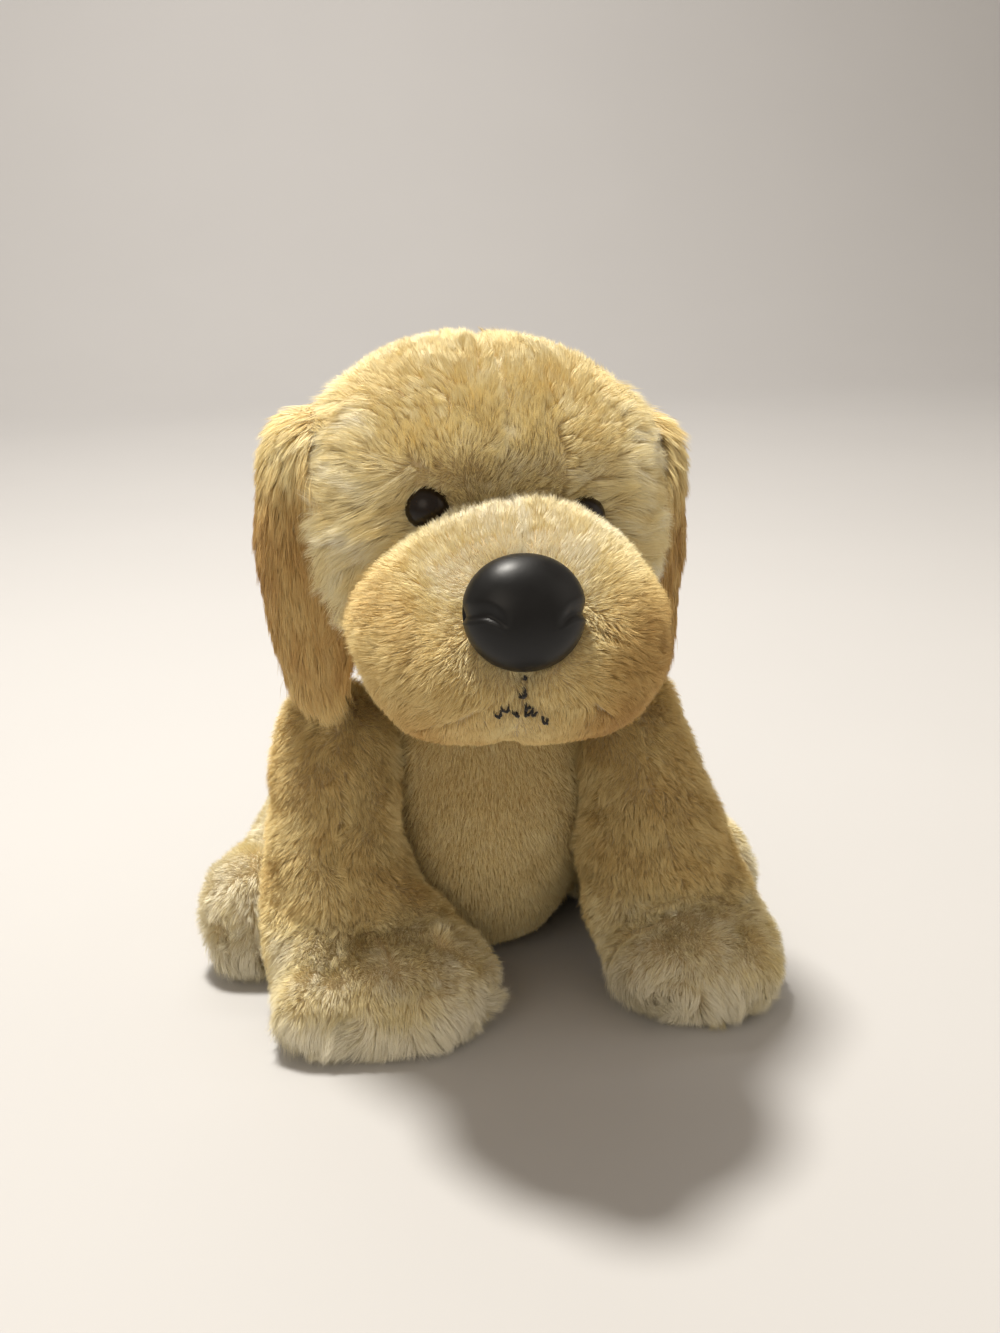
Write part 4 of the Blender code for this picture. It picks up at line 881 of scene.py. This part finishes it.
# ears
for label, skin, body, sign in (("left", ear_l_skin, "ear_left", 1), ("right", ear_r_skin, "ear_right", -1)):
    T, N = triangles(skin)
    def facing(p, n, sign=sign):
        return (n @ HEAD_POSE[:3, :3])[:, 0] * sign
    def ear_tone(p, n, sign=sign):
        q = turned(p, TO_HEAD)
        high = step(q[:, 2], 138, 162)
        return 0.27 + 0.44 * high + 0.16 * (1 - step(q[:, 2], 96, 106)) + 0.13 * noise(q * np.array([1, 1, 0.35]), 3.2, 441) + 0.07 * noise(q, 12.0, 442)
    def ear_comb(p, n):
        q = turned(p, TO_HEAD)
        return -UP + np.stack([0 * q[:, 0], 0.25 * (q[:, 1] + 10) / 18, 0 * q[:, 0]], 1)
    grow(f"pile_ear_{label}_outer", body, "ear_gold", T, N, 9.0, lambda p, n, s=sign: 7.4 + 1.2 * noise(p, 8.0, 443) + (3.0 if s < 0 else 0.0) * (1 - step(p[:, 2], 98, 112)), ear_comb, ear_tone, 20.0,
         width=0.19, clump=5.0, gather=0.72, keep=lambda p, n, f=facing: f(p, n) > -0.25, material=FUR_SILKY, seed=300 + sign, curl=0.26, segments=3)
    grow(f"pile_ear_{label}_lining", body, "ear_lining", T, N, 5.0, 4.4, ear_comb, lambda p, n: 0.40 + 0.05 * noise(p, 8.0, 444), 32.0,
         width=0.2, clump=4.0, gather=0.5, keep=lambda p, n, f=facing: f(p, n) <= -0.25, seed=320 + sign, curl=0.26)


# ------------------------------------------------------------------ nose
def nose_point(u, v):
    """A point of the nose: u runs round, v from the front (0) to the rim behind (1)."""
    size = np.sin(np.clip(v * 1.9, 0, math.pi * 0.62))
    depth = -9.6 * np.cos(np.clip(v * 1.9, 0, math.pi * 0.62))
    up, side = np.cos(u), np.sin(u)
    x = 13.7 * size * np.sign(side) * np.abs(side) ** 0.96 * (1.0 + 0.02 * up)
    z = 12.9 * size * np.sign(up) * np.abs(up) ** 0.97
    return np.stack([x, depth, z], -1)


rows, cols = 90, 128
v, u = np.meshgrid(np.linspace(0.004, 1.0, rows), np.linspace(0, TAU, cols + 1)[:-1], indexing="ij")
nose = nose_point(u, v)
n = grid_normals(nose)
for sign in (1, -1):
    front = nose[..., 1] < 2.4
    t = (sign * nose[..., 0] - 5.6) / 7.6                      # 0 at the nostril's inner end, 1 at the nose's edge
    rim = -2.3 + 0.9 * np.sin(np.clip(t, 0, 1.3) * 4.4 - 1.0) + 1.1 * np.clip(t, 0, 1.3) ** 2
    above = nose[..., 2] - rim
    inside = step(t, -0.15, 0.45) * step(above, -0.5, 0.6) * (1 - step(above, 0.8, 4.6)) * front
    lip = np.exp(-((above + 0.45) / 0.45) ** 2) * step(t, -0.05, 0.3) * front
    nose = nose - (0.9 * inside)[..., None] * n + (0.10 * lip)[..., None] * n
NOSE_POSE = HEAD_POSE @ np.array(Matrix.Translation(NOSE) @ Matrix.Rotation(math.radians(-13), 4, "X"))
nose_made = grid_mesh("nose_shell", turned(nose, NOSE_POSE), NOSE_MAT)
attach(nose_made, "head"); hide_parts("nose")

# ------------------------------------------------------------------ eyes
for label, sign in (("left", 1), ("right", -1)):
    look = Vector((sign * 0.40, -0.90, 0.10)).normalized().to_track_quat("Z", "Y").to_matrix().to_4x4()
    pose = HEAD_POSE @ np.array(Matrix.Translation((sign * EYE[0] + 0.6 * (sign > 0), EYE[1] + 2.3, EYE[2] - 2.8 * (sign > 0))) @ look)
    v = np.linspace(0, 1, 30)
    r = 5.4 * np.cos(v * math.pi / 2 * 0.985)
    h = 4.6 * np.sin(v * math.pi / 2)
    r = np.concatenate([[5.0, 5.3], r])
    h = np.concatenate([[-1.6, -0.6], h])
    u = np.linspace(0, TAU, 49)[:-1]
    ring = np.stack([r[:, None] * np.cos(u), r[:, None] * np.sin(u), np.broadcast_to(h[:, None], (len(r), 48))], 2)
    made = grid_mesh(f"eye_{label}_dome", turned(ring, pose), EYE_MAT)
    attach(made, "head"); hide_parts(f"eye_{label}")

# ------------------------------------------------------------------ mouth threads
muzzle_tree = BVHTree.FromPolygons([tuple(np.array(v.co) / MM - SHIFT) for v in muzzle_skin.data.vertices], [tuple(p.vertices) for p in muzzle_skin.data.polygons])


def thread_piece(name, lines, node):
    """Short stitches of two-ply thread that dive into the cloth at both ends."""
    build = bmesh.new()
    for number, line in enumerate(lines):
        (x0, z0), (x1, z1) = line
        x0, x1 = x0 + NOSE[0], x1 + NOSE[0]
        path = []
        for t in np.linspace(0, 1, 15):
            start = turned(np.array([[x0 + (x1 - x0) * t, -120.0, z0 + (z1 - z0) * t]]), HEAD_POSE)[0]
            hit, normal, _, _ = muzzle_tree.ray_cast(Vector(start), Vector(HEAD_POSE[:3, :3] @ np.array([0, 1.0, 0])))
            lift = 2.9 * math.sin(math.pi * (0.03 + 0.94 * t)) ** 0.5 - 0.4
            path.append(np.array(hit) + lift * np.array(normal))
        path = np.array(path)
        way = unit(np.gradient(path, axis=0))
        for ply in (0, 1):
            rings = []
            for k, (p, w) in enumerate(zip(path, way)):
                a = unit(np.cross(w, np.array([0.1, 1.0, 0.2])))
                b = np.cross(w, a)
                phase = k * 0.9 + ply * math.pi + number
                centre = p + 0.17 * (math.cos(phase) * a + math.sin(phase) * b)
                rings.append([build.verts.new(tuple((centre + 0.23 * (math.cos(t) * a + math.sin(t) * b) + SHIFT) * MM)) for t in np.linspace(0, TAU, 9)[:-1]])
            for r0, r1 in zip(rings, rings[1:]):
                for j in range(8):
                    build.faces.new((r0[j], r0[(j + 1) % 8], r1[(j + 1) % 8], r1[j]))
            build.faces.new(rings[0][::-1]); build.faces.new(rings[-1])
    bmesh.ops.recalc_face_normals(build, faces=build.faces)
    mesh = bpy.data.meshes.new(name)
    build.to_mesh(mesh); build.free()
    mesh.shade_smooth()
    made = bpy.data.objects.new(name, mesh)
    made.data.materials.append(THREAD_BLACK)
    bpy.context.scene.collection.objects.link(made)
    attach(made, "head"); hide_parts(node)


thread_piece("mouth_thread_centre", STITCH_LINES[:3], "mouth_stitch_centre")
thread_piece("mouth_thread_left", STITCH_LINES[3:7], "mouth_stitch_left")
thread_piece("mouth_thread_right", STITCH_LINES[7:], "mouth_stitch_right")

# ------------------------------------------------------------------ carried-over inner nodes
for node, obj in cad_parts.items():
    if node.endswith("filling"):
        material = FIBRE
    elif "beans" in node or "bean" in node:
        material = PELLETS
    elif "washer" in node:
        material = WASHER
    elif node == "neck_seam":
        material = THREAD_CREAM
    else:
        continue
    if obj.material_slots:
        obj.material_slots[0].material = material
    else:
        obj.data.materials.append(material)

# ------------------------------------------------------------------ stage, light, camera
def stage_material(name, colour, rough):
    made, tree, nodes, shader = tree_of(name)
    where = nodes.new("ShaderNodeTexCoord")
    cloud = nodes.new("ShaderNodeTexNoise"); cloud.inputs["Scale"].default_value = 6.0
    tone = ramp(nodes, [(0.3, tuple(c * 0.985 for c in colour)), (0.7, colour)])
    tree.links.new(where.outputs["Object"], cloud.inputs["Vector"])
    tree.links.new(cloud.outputs["Fac"], tone.inputs["Fac"])
    tree.links.new(tone.outputs["Color"], shader.inputs["Base Color"])
    shader.inputs["Roughness"].default_value = rough
    return made


def sweep():
    """Floor and backdrop in one: a flat sheet that curves up far behind the dog."""
    line = [(-3.0, 0.0), (1.3, 0.0)] + [(1.3 + 0.8 * math.sin(t), 0.8 - 0.8 * math.cos(t)) for t in np.linspace(0.08, math.pi / 2, 22)] + [(2.1, 4.0)]
    verts = [(x, y, z - 0.0002) for y, z in line for x in (-4.0, 4.0)]
    mesh = bpy.data.meshes.new("studio_sweep")
    mesh.from_pydata(verts, [], [(2 * k, 2 * k + 1, 2 * k + 3, 2 * k + 2) for k in range(len(line) - 1)])
    mesh.shade_smooth()
    made = bpy.data.objects.new("studio_sweep", mesh)
    made.data.materials.append(stage_material("studio_paper", (0.52, 0.515, 0.515), 0.7))
    bpy.context.scene.collection.objects.link(made)
    return made


sweep()

world = bpy.data.worlds.new("studio_world")
bpy.context.scene.world = world
world.use_nodes = True
world.node_tree.nodes["Background"].inputs["Color"].default_value = (1.0, 0.88, 0.74, 1)
world.node_tree.nodes["Background"].inputs["Strength"].default_value = 0.44


def area_light(name, place, aim, size, power, colour):
    data = bpy.data.lights.new(name, "AREA")
    data.shape = "DISK"
    data.size, data.energy, data.color = size, power, colour
    made = bpy.data.objects.new(name, data)
    bpy.context.scene.collection.objects.link(made)
    made.location = place
    made.rotation_euler = (Vector(aim) - Vector(place)).to_track_quat("-Z", "Y").to_euler()


area_light("key_overhead", (-0.16, 0.15, 1.10), (-0.01, -0.01, 0.10), 0.16, 16.0, (1.0, 0.955, 0.875))
area_light("fill_front", (-0.75, -1.1, 0.75), (0, 0, 0.09), 0.9, 2.4, (1.0, 0.90, 0.76))
area_light("wash_backdrop", (0.0, 0.9, 1.5), (0, 2.0, 0.5), 1.0, 16.0, (1.0, 0.96, 0.91))
area_light("fill_right", (1.1, -0.4, 0.6), (0, 0, 0.09), 0.9, 1.0, (1.0, 0.93, 0.84))

camera_data = bpy.data.cameras.new("photo_camera")
camera = bpy.data.objects.new("photo_camera", camera_data)
bpy.context.scene.collection.objects.link(camera)
camera_data.sensor_width = 36.0
camera_data.lens = 40.915
camera_data.clip_start = 0.01
camera.matrix_world = (
    Matrix.Translation((-0.0675, -0.4038, 0.216)) @ Matrix.Rotation(math.radians(-10.0), 4, "Z")
    @ Matrix.Rotation(math.radians(73.0), 4, "X") @ Matrix.Rotation(math.radians(-0.88), 4, "Z")
)
bpy.context.scene.camera = camera
bpy.context.scene.view_settings.view_transform = "Standard"

print("strands", sum(COUNTS.values()), COUNTS)
